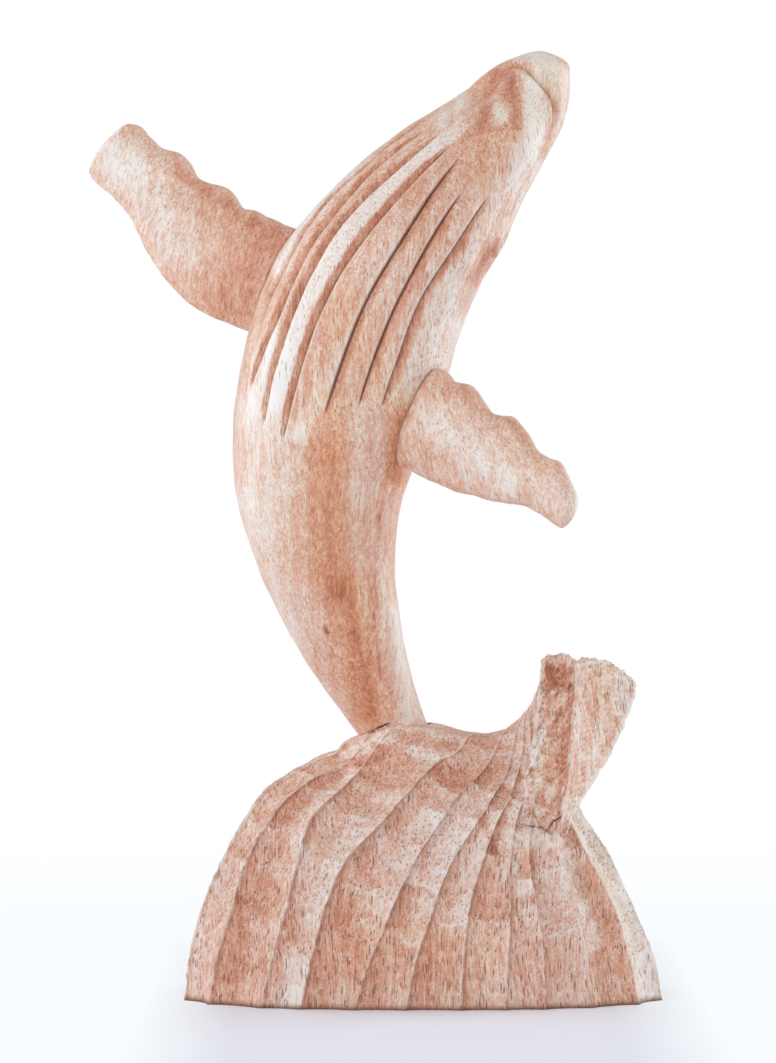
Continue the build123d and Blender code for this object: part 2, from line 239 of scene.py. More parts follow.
# The gouge's scoops in each front flute, from the foot up: the heights in the front view where one scoop
# ends and the next begins, and how pale each scoop's left and right half is, negative where it is red;
# the right halves are mostly paler, painted light from the left on walls that face it, over the wood's
# own pale end grain and red long grain.
# Flute 23 is the narrow one at the left end.
front_scoops = {
    23: (
        (28, 43, 53, 62, 70),
        ((-0.4, -0.25), (0.2, 0.0), (-0.3, -0.2), (-0.1, -0.4), (-0.4, -0.2), (-0.2, -0.4)),
    ),
    0: (
        (26, 40, 52, 63, 73, 80),
        ((-0.85, -0.55), (-0.65, -0.4), (-0.1, 0.5), (-0.7, 0.3), (-0.55, 0.1), (-0.8, -0.6), (-0.5, -0.3)),
    ),
    1: (
        (13, 27, 44, 56, 66, 77, 84.5),
        ((-0.35, 0.65), (-0.3, 0.15), (0.2, 0.9), (0.2, 0.8), (-0.4, 0.45), (-0.6, -0.6), (-0.5, -0.5),
         (-0.3, -0.5)),
    ),
    2: (
        (18, 32, 50, 61, 67, 77, 84.5),
        ((-1.0, -0.55), (-0.55, 0.05), (0.0, 0.55), (0.1, 0.8), (-0.45, -0.1), (-1.3, -1.1), (-0.5, -0.3),
         (-0.6, -0.5)),
    ),
    3: (
        (17, 34, 58, 66, 76, 82.5),
        ((-0.5, -0.75), (-0.3, 0.5), (0.6, 1.0), (-0.2, 0.45), (-1.2, -1.0), (-0.1, 0.1), (-0.6, -0.4)),
    ),
    4: (
        (22, 46, 59, 67, 77),
        ((-0.6, -0.4), (-0.1, 0.5), (0.0, 0.8), (-0.9, -0.7), (0.3, 0.6), (0.0, 0.3)),
    ),
    5: ((24, 45, 62, 73), ((-0.55, -0.5), (-0.7, -0.6), (-0.5, 0.45), (0.1, 0.5), (-0.1, 0.3))),
    6: ((20, 37, 48, 60), ((-0.5, -0.7), (-0.35, 0.0), (-0.1, -0.3), (0.2, 0.1), (0.2, 0.5))),
    7: ((19, 40, 52), ((-0.65, -0.5), (0.1, 0.35), (-0.4, -0.1), (0.3, 0.1))),
    8: ((15, 31, 46), ((-0.8, -1.0), (0.55, -0.5), (0.65, -0.7), (0.2, -0.6))),
    9: ((14, 33, 51), ((1.1, 1.3), (1.35, 1.4), (1.2, 1.4), (1.3, 1.3))),
}

# How much the wave's top rises or sinks from its flat height, by the distance to the right
top_rises = [
    (-45, 0), (-34, -1.0), (-28, -4), (-24.5, -4.2), (-20.5, -3), (-16, -1.0), (-9, 1.6), (5, 0.2),
    (13, -2.4), (20, -3), (26, -1.5), (30, 1.5), (34, 6.5), (37, 14), (41, 18), (50, 18),
]

# The crest's corners by height share of its rise: left ridge, middle ridge, right edge, then the back
# right, back middle and back left, each as a distance to the right and to the back
crest_foot = 51.0 * mm
crest_corners = [
    (-0.16, 31, -16, 39, -20, 43, -15, 42, -6, 37, 4, 29, 0),
    (0.00, 29.5, -24.0, 40, -27.0, 43.5, -21.5, 43, -6, 38, 7, 28.5, 3),
    (0.04, 29.3, -26.0, 40.3, -29.0, 44.2, -23.0, 44, -4, 40, 10, 27, 5),
    (0.09, 29.8, -27.0, 41.2, -31.5, 45, -24.5, 46, 0, 42, 14, 27, 8),
    (0.18, 30.5, -27.0, 42.4, -33, 46.8, -24, 48, 3, 43, 17, 28, 10),
    (0.28, 31.5, -25, 43.6, -33, 50.0, -19, 51, 5, 45, 18, 30, 11),
    (0.40, 32.6, -20.5, 44.8, -30.5, 54.2, -13, 54, 7, 46, 18.5, 31.5, 12),
    (0.53, 33.4, -17, 45.4, -27, 58.6, -7, 57, 8, 47, 18, 33, 12),
    (0.65, 34.6, -14, 46.0, -23, 61.6, -3, 60, 10, 48, 17, 34, 11),
    (0.78, 35.6, -12, 46.7, -19.5, 64.6, 1, 62.5, 11, 49, 15.5, 36, 10),
    (0.90, 36.4, -10.5, 47.3, -17, 66.8, 2.5, 64, 11, 50, 14, 38, 9),
    (1.00, 37.2, -9.5, 47.8, -15.5, 67.2, 3, 63.5, 10, 50, 12, 38.5, 8),
]

# How deep each side of the crest is hollowed, as a share of its width
crest_hollows = (0.31, 0.05, 0.10, 0.12, 0.16, 0.10)

# The crest's torn top, as distances to the right and heights
crest_top = [
    (36, 107), (40, 107.5), (44.5, 108.7), (47, 107.2), (48.5, 105.6), (50, 107), (57, 106.3),
    (60, 105.2), (63, 103.0), (67.5, 99.4),
]

# Pale and red strokes of colour, mostly the wood's own and some painted light, as marked in the lists: two
# ends as distances to the right and up in the front view, the stroke's half width, and how pale it is,
# negative where it is red
body_strokes = [
    (-55, 189, -57, 157, 5, 0.2),
    (-57, 157, -39, 112, 5, 0.5),
    (-52, 186, -48, 150, 6, 0.45),
    (-54, 186, -50, 204, 5, 0.7),
    (-46, 176, -43, 200, 3, 0.4),
    (-9, 236, -39, 179, 3.0, 0.7),
    (-39, 179, -44, 160, 3.2, 0.4),
    (-31, 172, -30, 130, 6, -0.55),
    (-20, 186, -20, 160, 4.5, 0.3),
    # Redder under the left flipper's root: painted shade at the joint
    (-7, 183, -8.5, 165, 3.5, -0.85),
    (-13, 136, -12, 124, 3, 0.2),
    (-26, 130, -17, 90, 5, -0.65),
    (-19.5, 104, -18, 90, 3, -0.35),
    (-34, 112, -28, 98, 4, -0.25),
    (-46.5, 209, -48.5, 196, 2.0, 0.45),
    (-1, 262, -6, 252, 3, -0.4),
    (30, 299, 40, 296, 3, 0.25),
    (-9, 122, -4, 88, 3.2, 0.8),
    (-38, 130, -29, 95, 3, 0.2),
    (-11.8, 167, -14.2, 152, 0.55, -0.7),
    (-14.2, 152, -15.6, 135, 0.55, -0.8),
    (-15.6, 135, -16.2, 116, 0.6, -0.9),
    (-31.8, 117, -31.1, 115.2, 0.6, -1.6),
    (-43, 128, -34, 108, 0.6, -0.35),
    (-14.5, 113, -14.0, 101, 0.7, -0.7),
    (-22, 116, -20, 108, 0.8, -0.5),
    (14, 222, 5, 196, 5, 0.75),
    (27, 250, 20, 232, 4, -0.15),
    (37, 296, 44, 280, 6, 0.5),
    (27.5, 292, 29, 274, 2.6, -0.3),
    (24, 292, 18, 278, 4.4, -0.75),
    (23.4, 283, 23.2, 278, 2.6, 0.5),
    (27, 272, 17, 258, 4.5, -0.1),
    (20, 297, 36, 299.5, 2.6, 0.45),
    # Painted sheen along the head's left outline
    (5, 277, 12, 283, 3, 0.7),
    (33.5, 290, 35.3, 270, 4.2, 1.1),
    (35, 270, 29, 256, 3.2, 0.35),
    (37, 264, 24.5, 238, 3.4, 0.8),
    (-47, 212, -49, 190, 3.2, 0.8),
    (-42, 206, -45, 188, 2.0, 0.6),
    (41.5, 282, 37.5, 266, 1.6, -0.7),
    (33, 293.5, 40, 285, 1.4, -0.4),
    (38, 297, 46, 290, 3.5, 0.5),
    # Painted sheen along the left outline of the head and body
    (-8, 281.5, -37, 248.5, 3.2, 1.7),
    (-37, 248.5, -46, 230, 2.5, 1.2),
    (17, 266, 13, 245, 6, -0.2),
    (-16, 225, -34, 190, 4, -0.15),
    (-6, 252, -18, 232, 4, 0.3),
    # Painted shade in the eye's socket and in the hollow behind it
    (21.5, 238, 16.5, 226, 1.2, -0.7),
    (15.5, 230, 12.5, 218, 3.0, -0.45),
    (23.4, 240, 22.2, 235, 0.9, -1.6),
    (36.6, 266, 27.5, 248, 0.45, -0.7),
]

# Strokes with crisp edges on the chin
chin_strokes = [
    (29.0, 295, 29.4, 276, 1.8, -0.5),
    (26.5, 291, 27.0, 285, 2.2, -0.2),
    (23.6, 281.8, 23.8, 278.0, 2.2, 0.45),
    (22.4, 284.0, 24.4, 279.0, 1.6, 0.35),
    (20.5, 274.6, 29.0, 275.0, 0.3, -0.3),
    (34.5, 289, 36.5, 272, 2.6, 0.3),
]

# Strokes of warmer colour on the body and on the wave, one of them painted shade as marked
body_warm_strokes = [
    (-31, 186, -30, 134, 7, 0.8),
    # Warmer under the left flipper's root: painted shade at the joint
    (-7, 186, -8.5, 164, 4, 1.3),
    (-24, 128, -17, 90, 6, 0.9),
    (-50, 170, -44, 140, 8, 0.1),
    (-24, 215, -14, 190, 7, 0.5),
    (18, 262, 24, 276, 6, 0.4),
    (34, 290, 36, 270, 4, 0.4),
    (38, 296, 44, 288, 5, 0.4),
]
wave_warm_strokes = [
    (54, 50, 68, 0, 7, 0.35),
    (-20, 20, 20, 10, 12, 0.4),
]

# Strokes with crisp edges on the wave, then on its crest
wave_strokes = [
    (-24, 77, -18.5, 79.3, 1.7, 0.5),
    (-21, 73.8, -14, 75.8, 1.7, -0.6),
    (-15.6, 79.6, -11.6, 77.6, 1.3, -0.7),
    (-16.0, 81.0, -10.5, 83.4, 1.5, 0.45),
    (-9, 83.5, -5, 81.5, 1.2, -0.4),
    (-10, 78.8, -5.5, 74.8, 1.6, -0.55),
    (-3.2, 78.2, 2.6, 75.4, 2.0, 0.7),
    (-1.5, 82.2, 7.0, 79.8, 1.7, -0.4),
    (8.5, 76.4, 15.0, 73.8, 1.9, 0.35),
    (15.5, 81.0, 23.0, 79.4, 1.8, -0.4),
    (18, 57, 24, 43, 1.3, -0.7),
    (34.7, 47, 34.7, 28, 0.6, -0.8),
    (-51, 15, -50, 0, 1.0, -0.5),
    (-59, 31, -57.5, 10, 0.8, -0.6),
    (-22, 17, -18, 0, 4, -0.35),
    (0, 30, 2, 4, 8, -0.15),
    (5, 79.2, 9.5, 78.6, 1.8, -0.45),
    (27, 50.8, 34, 49.8, 1.6, 0.45),
    (34, 49.8, 42, 49.8, 1.6, 0.4),
]
crest_warm_strokes = [
    (56, 100, 50, 66, 9, 0.5),
    (38, 80, 37, 58, 3, 0.6),
    (40, 104, 41, 96, 4, 0.3),
]
crest_strokes = [
    (38.9, 106, 38.2, 98.0, 1.6, -0.6),
    (41.0, 106, 41.0, 99.0, 1.4, -0.45),
    (41.0, 98.6, 45.2, 98.2, 1.2, -0.55),
    (43.4, 104.5, 44.8, 99.0, 1.4, -0.15),
    (39.3, 95, 38.8, 85.5, 1.1, -0.5),
    (44.0, 95.5, 37.6, 83.5, 0.9, 0.75),
    (37.6, 83.5, 32.8, 72.6, 1.1, 0.9),
    # Paler left wall and redder right wall of the valley: painted light and shade that make it read hollow,
    # on the wood's own tones
    (35.8, 77, 35.2, 60, 1.8, 0.6),
    (38.6, 67, 37.8, 59, 1.8, 0.5),
    (37.0, 80, 36.4, 66, 1.2, 0.4),
    (43.0, 83, 43.0, 72, 1.2, -0.3),
    (42.0, 78, 41.2, 64, 1.5, 0.2),
    (46.4, 104, 46.6, 86, 0.7, -0.6),
    (46.0, 86, 42.6, 62, 0.7, -0.5),
    (33.2, 92, 31.0, 79, 1.6, 0.25),
    (56, 99.6, 52.8, 77.3, 4, 0.25),
    (63.5, 100, 61, 91, 2.0, 0.2),
    (53.6, 102.8, 54.6, 88.5, 1.0, -0.55),
    (51.6, 98, 51.0, 86, 0.4, -0.45),
    (57.8, 98, 57.4, 90, 0.4, -0.35),
    (62.0, 88.0, 57.0, 77, 0.9, -0.55),
    (52, 84, 46, 66, 2.2, -0.15),
    (26, 70, 24, 60, 3, 0.3),
    (26.0, 56.0, 24.5, 40, 0.8, -0.7),
    (43.0, 55.5, 46.5, 40, 2.2, -0.35),
]

# The crack under the crest's valley and the slit at the whale's foot, each cut in and lined with painted
# shade: two ends as distances to the right and up in the front view, the half width, and how far forward
# it lies
cracks = [
    (30.8, 54.2, 37.2, 53.2, 0.12, 29.5),
    (36.8, 53.4, 39.4, 52.2, 0.24, 29.5),
    (39.2, 52.4, 41.0, 55.4, 0.20, 30.0),
    (40.8, 55.2, 43.6, 56.8, 0.16, 30.5),
]
foot_slit = (-23.8, 80.6, -11.0, 86.6, 0.36, 11.8)

# Fine lines of painted shade where the crest's scoops end: two ends in the front view and the half width
scoop_lines = [
    (37.3, 107, 37.4, 96, 0.22),
    (37.4, 96, 36.0, 80, 0.22),
    (37.3, 97, 40.7, 95.5, 0.22),
    (40.7, 95.5, 45.2, 96.4, 0.22),
    (45.2, 96.4, 47.2, 98.7, 0.22),
    (45.6, 94.5, 39.0, 82.5, 0.16),
    (39.0, 82.5, 34.2, 71.5, 0.16),
    (38.5, 68.3, 41.0, 69.2, 0.20),
    (41.0, 69.2, 43.2, 67.2, 0.20),
    (34.2, 65.0, 35.6, 59.5, 0.20),
    (35.6, 59.5, 38.8, 57.2, 0.24),
    (38.8, 57.2, 42.0, 58.6, 0.24),
    (42.0, 58.6, 43.8, 63.0, 0.20),
]

# The crest's gouged hollows: middle, reaches to the side, to the front and up, and how they lean
# to the right and to the back
valley_scoops = [
    ((37.6, -32.0, 67.4), (5.3, 9.6, 8.8), 0.10, 0.25),
    ((39.4, -25.2, 83.4), (5.6, 9.4, 15.0), 0.10, 0.44),
    ((41.6, -16.8, 104.8), (5.6, 9.4, 9.6), 0.06, 0.25),
]

# Pale torn lines below the crack, as strokes, painted pale both as fibres and as highlight on the lip there
torn_strokes = [
    (25.8, 52.6, 31.0, 50.6, 0.55, 1.2),
    (31.0, 50.6, 36.5, 49.6, 0.55, 1.2),
    (36.5, 49.6, 42.5, 50.8, 0.50, 1.1),
    (29.5, 52.4, 37.0, 51.9, 0.45, 0.9),
    (34.0, 47.6, 40.5, 47.8, 0.45, 0.9),
    (39.0, 46.6, 45.5, 49.6, 0.40, 0.8),
    (27.5, 55.4, 30.6, 54.9, 0.30, 0.8),
    (28.5, 47.8, 34.5, 46.9, 0.26, 0.6),
    (37.5, 46.5, 43.5, 48.4, 0.26, 0.6),
    (32.5, 55.2, 38.0, 54.4, 0.26, 0.6),
    (40.6, 60.5, 43.6, 58.6, 0.30, 0.7),
]
flipper_strokes = [
    (-93, 262, -78, 238, 8, 0.7),
    (-101, 268, -96, 262, 7, 0.85),
    (-50, 240, -62, 220, 7, -0.55),
    (-76, 260, -55, 245, 2.5, -0.5),
    (-86, 256, -66, 246, 2, -0.2),
    (3, 182, 26, 164, 6, 0.75),
    (38, 160, 47, 155, 5, 0.45),
    (8, 198, 38, 173, 2.4, -0.5),
    (-1, 182, 2, 172, 2.5, -0.2),
]


def smooth(rows, place):
    """The columns of a table at many places, on smooth curves through its rows."""
    rows, place = np.asarray(rows, float), np.asarray(place, float)
    at, values = rows[:, 0], rows[:, 1:]
    last = len(at) - 1
    place = np.clip(place, at[0], at[last])
    i = np.clip(np.searchsorted(at, place, side="right") - 1, 0, last - 1)
    before, after = np.maximum(i - 1, 0), np.minimum(i + 2, last)
    step = (at[i + 1] - at[i])[..., None]
    t = (place - at[i])[..., None] / step
    slope_in = (values[i + 1] - values[before]) / (at[i + 1] - at[before])[..., None] * step
    slope_out = (values[after] - values[i]) / (at[after] - at[i])[..., None] * step
    rise = (3 * t**2 - 2 * t**3) * (values[i + 1] - values[i])
    curve = values[i] + rise + (t**3 - 2 * t**2 + t) * slope_in + (t**3 - t**2) * slope_out
    return np.moveaxis(curve, -1, 0)


def ease(value, start, end):
    """0 before start, 1 after end, and a soft step between; the two may be in either order."""
    t = np.clip((value - start) / (end - start), 0, 1)
    return t * t * (3 - 2 * t)


def bell(value, width):
    """1 at zero, falling off on both sides within the width."""
    return np.exp(-((value / width) ** 2))


def unit(vectors):
    """Vectors brought to a length of 1."""
    return vectors / np.maximum(np.linalg.norm(vectors, axis=-1, keepdims=True), 1e-12)


def wobble(points, size, seed, layers=5):
    """A smooth unevenness between about -1 and 1 over points, with lumps of one size."""
    chance = np.random.default_rng(seed)
    total = np.zeros(points.shape[:-1])
    for _ in range(layers):
        direction = unit(chance.normal(size=3)) * chance.uniform(0.7, 1.6) * 2 * np.pi / size
        total += np.sin(points @ direction + chance.uniform(0, 2 * np.pi))
    return total / layers**0.5 / 1.2


def seen(points):
    """Where points appear to someone in front, in mm on the upright plane through the wave's middle."""
    nearer = viewer_distance / (viewer_distance + points[..., 1:2])
    return (viewer_place + (points[..., [0, 2]] - viewer_place) * nearer) / mm


def line_gap(place, x0, z0, x1, z1):
    """How far places in the front view lie from the line between two ends."""
    start, run = np.array([x0, z0]), np.array([x1 - x0, z1 - z0])
    part = np.clip(((place - start) @ run) / (run @ run), 0, 1)
    return np.linalg.norm(place - start - part[..., None] * run, axis=-1)


def stroke_tone(points, strokes, crisp=False):
    """How pale or red the strokes make the wood at points, with soft or crisp edges."""
    place, tone = seen(points), np.zeros(points.shape[:-1])
    uneven = 0.5 * wobble(points, 7 * mm, 91) if crisp else 0.25 * wobble(points, 9 * mm, 92)
    for *ends, width, strength in strokes:
        away = line_gap(place, *ends) + uneven
        tone += strength * (ease(away, 1.25 * width, 0.75 * width) if crisp else bell(away, width))
    return tone


def line_mark(points, lines):
    """How much points on the front lie on fine lines, of which the thin ones are paler."""
    full_width = 0.2
    place, mark = seen(points), np.zeros(points.shape[:-1])
    place = place + 0.34 * wobble(points, 2.0 * mm, 93)[..., None]
    for line in lines:
        width = line[4]
        darkness = min(1.0, width / full_width)
        mark = np.maximum(mark, darkness * bell(line_gap(place, *line[:4]), 1.4 * width))
    return mark * (points[..., 1] < 0)


def across_grid(points):
    """Steps up the rows and round the columns of a closed grid of points."""
    return np.gradient(points, axis=0), (np.roll(points, -1, 1) - np.roll(points, 1, 1)) / 2


def outward(points):
    """The directions out of a closed grid whose columns run anticlockwise, seen from its last row."""
    up, around = across_grid(points)
    return unit(np.cross(around, up))


def add_object(name, data):
    """A new object in the scene."""
    new = bpy.data.objects.new(name, data)
    bpy.context.scene.collection.objects.link(new)
    return new


def set_mark(mesh, key, values):
    """Keeps one number for each point of a mesh, which the materials read."""
    mesh.attributes.new(key, "FLOAT", "POINT").data.foreach_set("value", values)


def spread(stops, weights, count):
    """Places over a range, closer together where the weights at its stops are higher."""
    fine = np.linspace(stops[0], stops[-1], 4000)
    total = np.cumsum(np.interp(fine, stops, weights))
    return np.interp(np.linspace(total[0], total[-1], count), total, fine)


def crowd(shares, strength):
    """Shares from 0 to 1 drawn towards both ends."""
    return shares - strength * np.sin(2 * np.pi * shares) / (2 * np.pi)


def grid_piece(name, points, marks, zipped=False):
    """A closed mesh from rows of closed rings, with fans at its ends, or its last ring zipped together."""
    rows, columns = points.shape[:2]
    place = np.arange(rows * columns).reshape(rows, columns)
    right = np.roll(place, -1, 1)
    quads = np.stack([place[:-1], right[:-1], right[1:], place[1:]], -1).reshape(-1, 4)
    corners = points.reshape(-1, 3)
    marks = {key: value.reshape(-1) for key, value in marks.items()}
    fans = []
    for row, turn in ((0, -1),) if zipped else ((0, -1), (rows - 1, 1)):
        hub = len(corners)
        corners = np.vstack([corners, points[row].mean(0)])
        marks = {key: np.append(value, value[place[row]].mean()) for key, value in marks.items()}
        fan = np.stack([np.full(columns, hub), place[row], right[row]], -1)
        fans.append(fan if turn > 0 else fan[:, ::-1])
    triangles = np.vstack([quads[:, [0, 1, 2]], quads[:, [0, 2, 3]], *fans])
    a, b, c = (corners[triangles[:, k]] for k in range(3))
    if np.einsum("ij,ij->", a, np.cross(b, c)) < 0:
        quads, fans = quads[:, ::-1], [fan[:, ::-1] for fan in fans]
    mesh = bpy.data.meshes.new(name)
    mesh.from_pydata(corners.tolist(), [], quads.tolist() + np.vstack(fans).tolist())
    if zipped:
        merge_close(mesh)
    for key, value in marks.items():
        set_mark(mesh, key, value)
    mesh.shade_smooth()
    return add_object(name, mesh)


def merge_close(mesh):
    """Joins the points of a mesh that lie on each other."""
    work = bmesh.new()
    work.from_mesh(mesh)
    bmesh.ops.remove_doubles(work, verts=work.verts, dist=0.01 * mm)
    work.to_mesh(mesh)
    work.free()


def bend_depth(mesh, rounds):
    """How far each point lies below the evened skin round it, negative where it stands out."""
    count = len(mesh.vertices)
    place, normal = np.zeros(3 * count), np.zeros(3 * count)
    ends = np.zeros(2 * len(mesh.edges), int)
    mesh.vertices.foreach_get("co", place)
    mesh.vertices.foreach_get("normal", normal)
    mesh.edges.foreach_get("vertices", ends)
    place, normal, (a, b) = place.reshape(-1, 3), normal.reshape(-1, 3), ends.reshape(-1, 2).T
    near = np.maximum(np.bincount(np.concatenate([a, b]), minlength=count), 1)
    even = place
    for _ in range(rounds):
        sums = [np.bincount(a, axis[b], count) + np.bincount(b, axis[a], count) for axis in even.T]
        even = np.stack(sums, -1) / near[:, None]
    return ((even - place) * normal).sum(-1)


def copy_marks(piece, points, marks):
    """Gives a cut mesh the marks of its first grids' nearest points, paints shade into its hollows, cracks
    and scoops' ends, and paints highlights on its rims.
    """
    tree = KDTree(len(points))
    for index, point in enumerate(points):
        tree.insert(point, index)
    tree.balance()
    nearest = [tree.find(vertex.co)[1] for vertex in piece.data.vertices]
    marks = {key: value[nearest] for key, value in marks.items()}
    place = np.array([vertex.co for vertex in piece.data.vertices])
    x, y, z = place.T / mm
    above = ease(z, 2, 6)
    crest = ease(z, 55, 60) * ease(x, 26, 30) * (y < 6)
    # Painted shade in small and broad hollows and painted highlight on small rims, both stronger on the
    # crest
    fine, broad = bend_depth(piece.data, 5) / (0.2 * mm), bend_depth(piece.data, 60) / (1.2 * mm)
    fine_hollow, fine_rim_highlight = np.clip(fine, 0, 1) * above, np.clip(-fine, 0, 1) * above
    broad_hollow = np.clip(broad, -0.8, 1) * above
    marks["tone"] = marks["tone"] - (0.22 + 0.3 * crest) * fine_hollow - (0.16 + 0.3 * crest) * broad_hollow
    # Painted shade lines in the crest's cracks and where its scoops end
    crack_and_scoop_shade = np.maximum(line_mark(place, cracks), 0.42 * line_mark(place, scoop_lines))
    marks["hollow"] = np.maximum(marks["hollow"] + 0.05 * fine_hollow, crack_and_scoop_shade)
    # Pale torn fibres below the crack, painted pale both as fibres and as highlight on the lip there
    torn = stroke_tone(place + 0.5 * mm * wobble(place, 3 * mm, 94)[:, None], torn_strokes) * (y < 0)
    marks["edge"] = np.maximum(marks["edge"] + (0.22 + 0.3 * crest) * fine_rim_highlight, torn)
    for key, value in marks.items():
        set_mark(piece.data, key, value)


def make_scoop(centre, reaches, lean=0.0, back=0.0, turn=0.0):
    """A rounded tool that cuts a scoop or, when it is flat, a crack."""
    level = -np.cos(np.linspace(0.03, np.pi - 0.03, 44))[:, None]
    around = np.linspace(0, 2 * np.pi, 64, endpoint=False)[None]
    roundness = 2.6
    wide = (1 - np.abs(level) ** roundness) ** (1 / roundness)
    x, y, z = wide * np.cos(around) * reaches[0], wide * np.sin(around) * reaches[1], level * reaches[2]
    x, y = x + lean * z, y + back * z
    x, z = x * np.cos(turn) - z * np.sin(turn), x * np.sin(turn) + z * np.cos(turn)
    points = np.stack([x + centre[0], y + centre[1], z + centre[2]], -1) * mm
    # The tool's faces carry full painted shade, which the faces that it cuts keep
    plain, dark = np.zeros(points.shape[:2]), np.ones(points.shape[:2])
    return grid_piece("scoop", points, {"tone": plain, "hollow": dark, "edge": plain, "dots": plain})


def make_crack(x0, z0, x1, z1, width, forward):
    """A flat tool along a crack's line, brought from the front view to where it lies."""
    nearer = 1 - forward * mm / viewer_distance
    eye = viewer_place / mm
    middle = eye + (np.array([x0 + x1, z0 + z1]) / 2 - eye) * nearer
    reaches = (np.hypot(x1 - x0, z1 - z0) / 2, 3.0, width)
    return make_scoop((middle[0], -forward, middle[1]), reaches, turn=np.arctan2(z1 - z0, x1 - x0))


def cut(piece, tool, operation):
    """Joins or cuts a piece with a tool, which is then removed."""
    modifier = piece.modifiers.new("cut", "BOOLEAN")
    modifier.object, modifier.operation, modifier.solver = tool, operation, "MANIFOLD"
    shape = piece.evaluated_get(bpy.context.evaluated_depsgraph_get())
    mesh = bpy.data.meshes.new_from_object(shape)
    piece.modifiers.remove(modifier)
    piece.data = mesh
    bpy.data.objects.remove(tool)


# The whale's body
def body_middle(sideways, forward, height):
    """The middle of the body's sections at heights."""
    return np.stack([tail_offset + sideways * body_lean, -forward * body_bow, height], -1)


def body_skin(share, angle):
    """Points on the plain skin at height shares and angles; below the rise it runs on straight."""
    sideways, forward, width = smooth(body_shares, share)
    below = np.minimum(share, 0)
    sideways, width = sideways + below * foot_slopes[0], width + below * foot_slopes[1]
    width = width * np.sqrt(1 - np.clip((share - snout_round_share) / (1 - snout_round_share), 0, 1) ** 2.4)
    turn = np.radians(angle)
    across = width * body_half_width * np.cos(turn)
    deep = width * body_half_width * body_flatness * np.sin(turn)
    centre = body_middle(sideways, forward, stub_top + share * body_rise)
    return centre + across[..., None] * lateral + deep[..., None] * belly


def skin_place(place):
    """One point of the plain skin."""
    return body_skin(np.float64(place[0]), np.float64(place[1]))


def skin_normal(share, angle):
    """The direction straight out of the plain skin at one place."""
    up = skin_place((share + share_step, angle)) - skin_place((share - share_step, angle))
    around = skin_place((share, angle + 1)) - skin_place((share, angle - 1))
    return unit(np.cross(up, around))


def skin_depth(points):
    """How far points lie outside the plain skin."""
    share = (points[..., 2] - stub_top) / body_rise
    sideways, forward, width = smooth(body_shares, share)
    away = points - body_middle(sideways, forward, points[..., 2])
    across, deep = width * body_half_width, width * body_half_width * body_flatness
    return (np.hypot(away @ lateral / across, away @ belly / deep) - 1) * deep


def groove_cut(share, angle, path, gentle):
    """One groove's depth over the grid, with its dark line of painted shade, its shaded slope and its pale
    rim of painted highlight.
    """
    level = share[:, 0]
    middle = smooth(path, level)[0][:, None]
    low, high = path[0][0], path[-1][0]
    fade = ease(share, low, low + 0.05) * ease(share, high, high - 0.09)
    ahead, behind = (
        body_skin((level + step)[:, None], smooth(path, level + step)[0][:, None])
        for step in (share_step, -share_step)
    )
    side = body_skin(share[:, :1], middle + 1) - body_skin(share[:, :1], middle - 1)
    slant = np.linalg.norm(np.cross(unit(ahead - behind), unit(side)), axis=-1)
    away = (angle - middle) * np.linalg.norm(side, axis=-1) / 2 * slant * gentle
    slope = groove_slope_width * (0.35 + 0.65 * fade)
    gentle_side = np.clip(1 - away / slope, 0, 1) ** 1.3
    steep_side = np.clip(1 + away / groove_wall_width, 0, 1)
    depth = np.where(away > 0, gentle_side, steep_side) * fade * groove_depth
    shown = ease(fade, 0, 0.35)
    # Painted shade along the groove's bottom and over its gentle slope, and a painted highlight on the rim
    # beyond its steep wall
    line = bell(away + 0.05 * mm, 0.31 * mm) * shown
    shade = np.where(away > -0.2 * mm, ease(away, slope, 0.7 * slope), 0) * shown
    rim = bell(away + 0.95 * mm, 0.4 * mm) * shown
    return depth, line, shade, rim


def line_distance(points, line):
    """The distance from points to the nearest point of a dense line."""
    nearest = np.full(points.shape[:-1], 1e9)
    for start in range(0, len(line), 40):
        gaps = np.linalg.norm(points[..., None, :] - line[start : start + 40], axis=-1)
        nearest = np.minimum(nearest, gaps.min(-1))
    return nearest


def mouth_cut(share, angle, points):
    """The mouth's step: its change of height, its dark line of painted shade and the painted shade under
    the lower jaw's rim.
    """
    along = np.linspace(mouth_shares[0][0], mouth_shares[-1][0], 360)
    corner = smooth(mouth_shares, along)[0]
    line = np.vstack([body_skin(along, corner), body_skin(along, 180 - corner)])
    head = share[:, 0] > mouth_shares[0][0] - 0.03
    away = np.full(share.shape, 99.0 * mm)
    away[head] = line_distance(points[head], line)
    corner = smooth(mouth_shares, share)[0]
    turned = (angle + 90) % 360 - 90
    below_chin = share < mouth_shares[-1][0]
    inside = below_chin & (turned > corner) & (turned < 180 - corner)
    away = np.where(inside, away, -away)
    strength = ease(share, 0.73, 0.80) * (0.45 + 0.55 * ease(share, 0.84, 0.93))
    lip = -0.45 * mm * bell(away, 0.7 * mm)
    channel = -mouth_step * bell(away + 0.7 * mm, 2.6 * mm) * ease(-away, 0, 0.7 * mm)
    rim = 0.5 * mm * np.where(away > 0, bell(away - 1.2 * mm, 1.1 * mm), 0) * ease(share, 0.86, 0.93)
    # Painted shade along the mouth's crease
    dark = bell(away + 0.35 * mm, 0.45 * mm) * ease(share, 0.735, 0.76)
    shade = np.where(away < 0, bell(away, 2.6 * mm), 0) * ease(share, 0.87, 0.91)
    return strength * (lip + channel) + rim, dark, shade


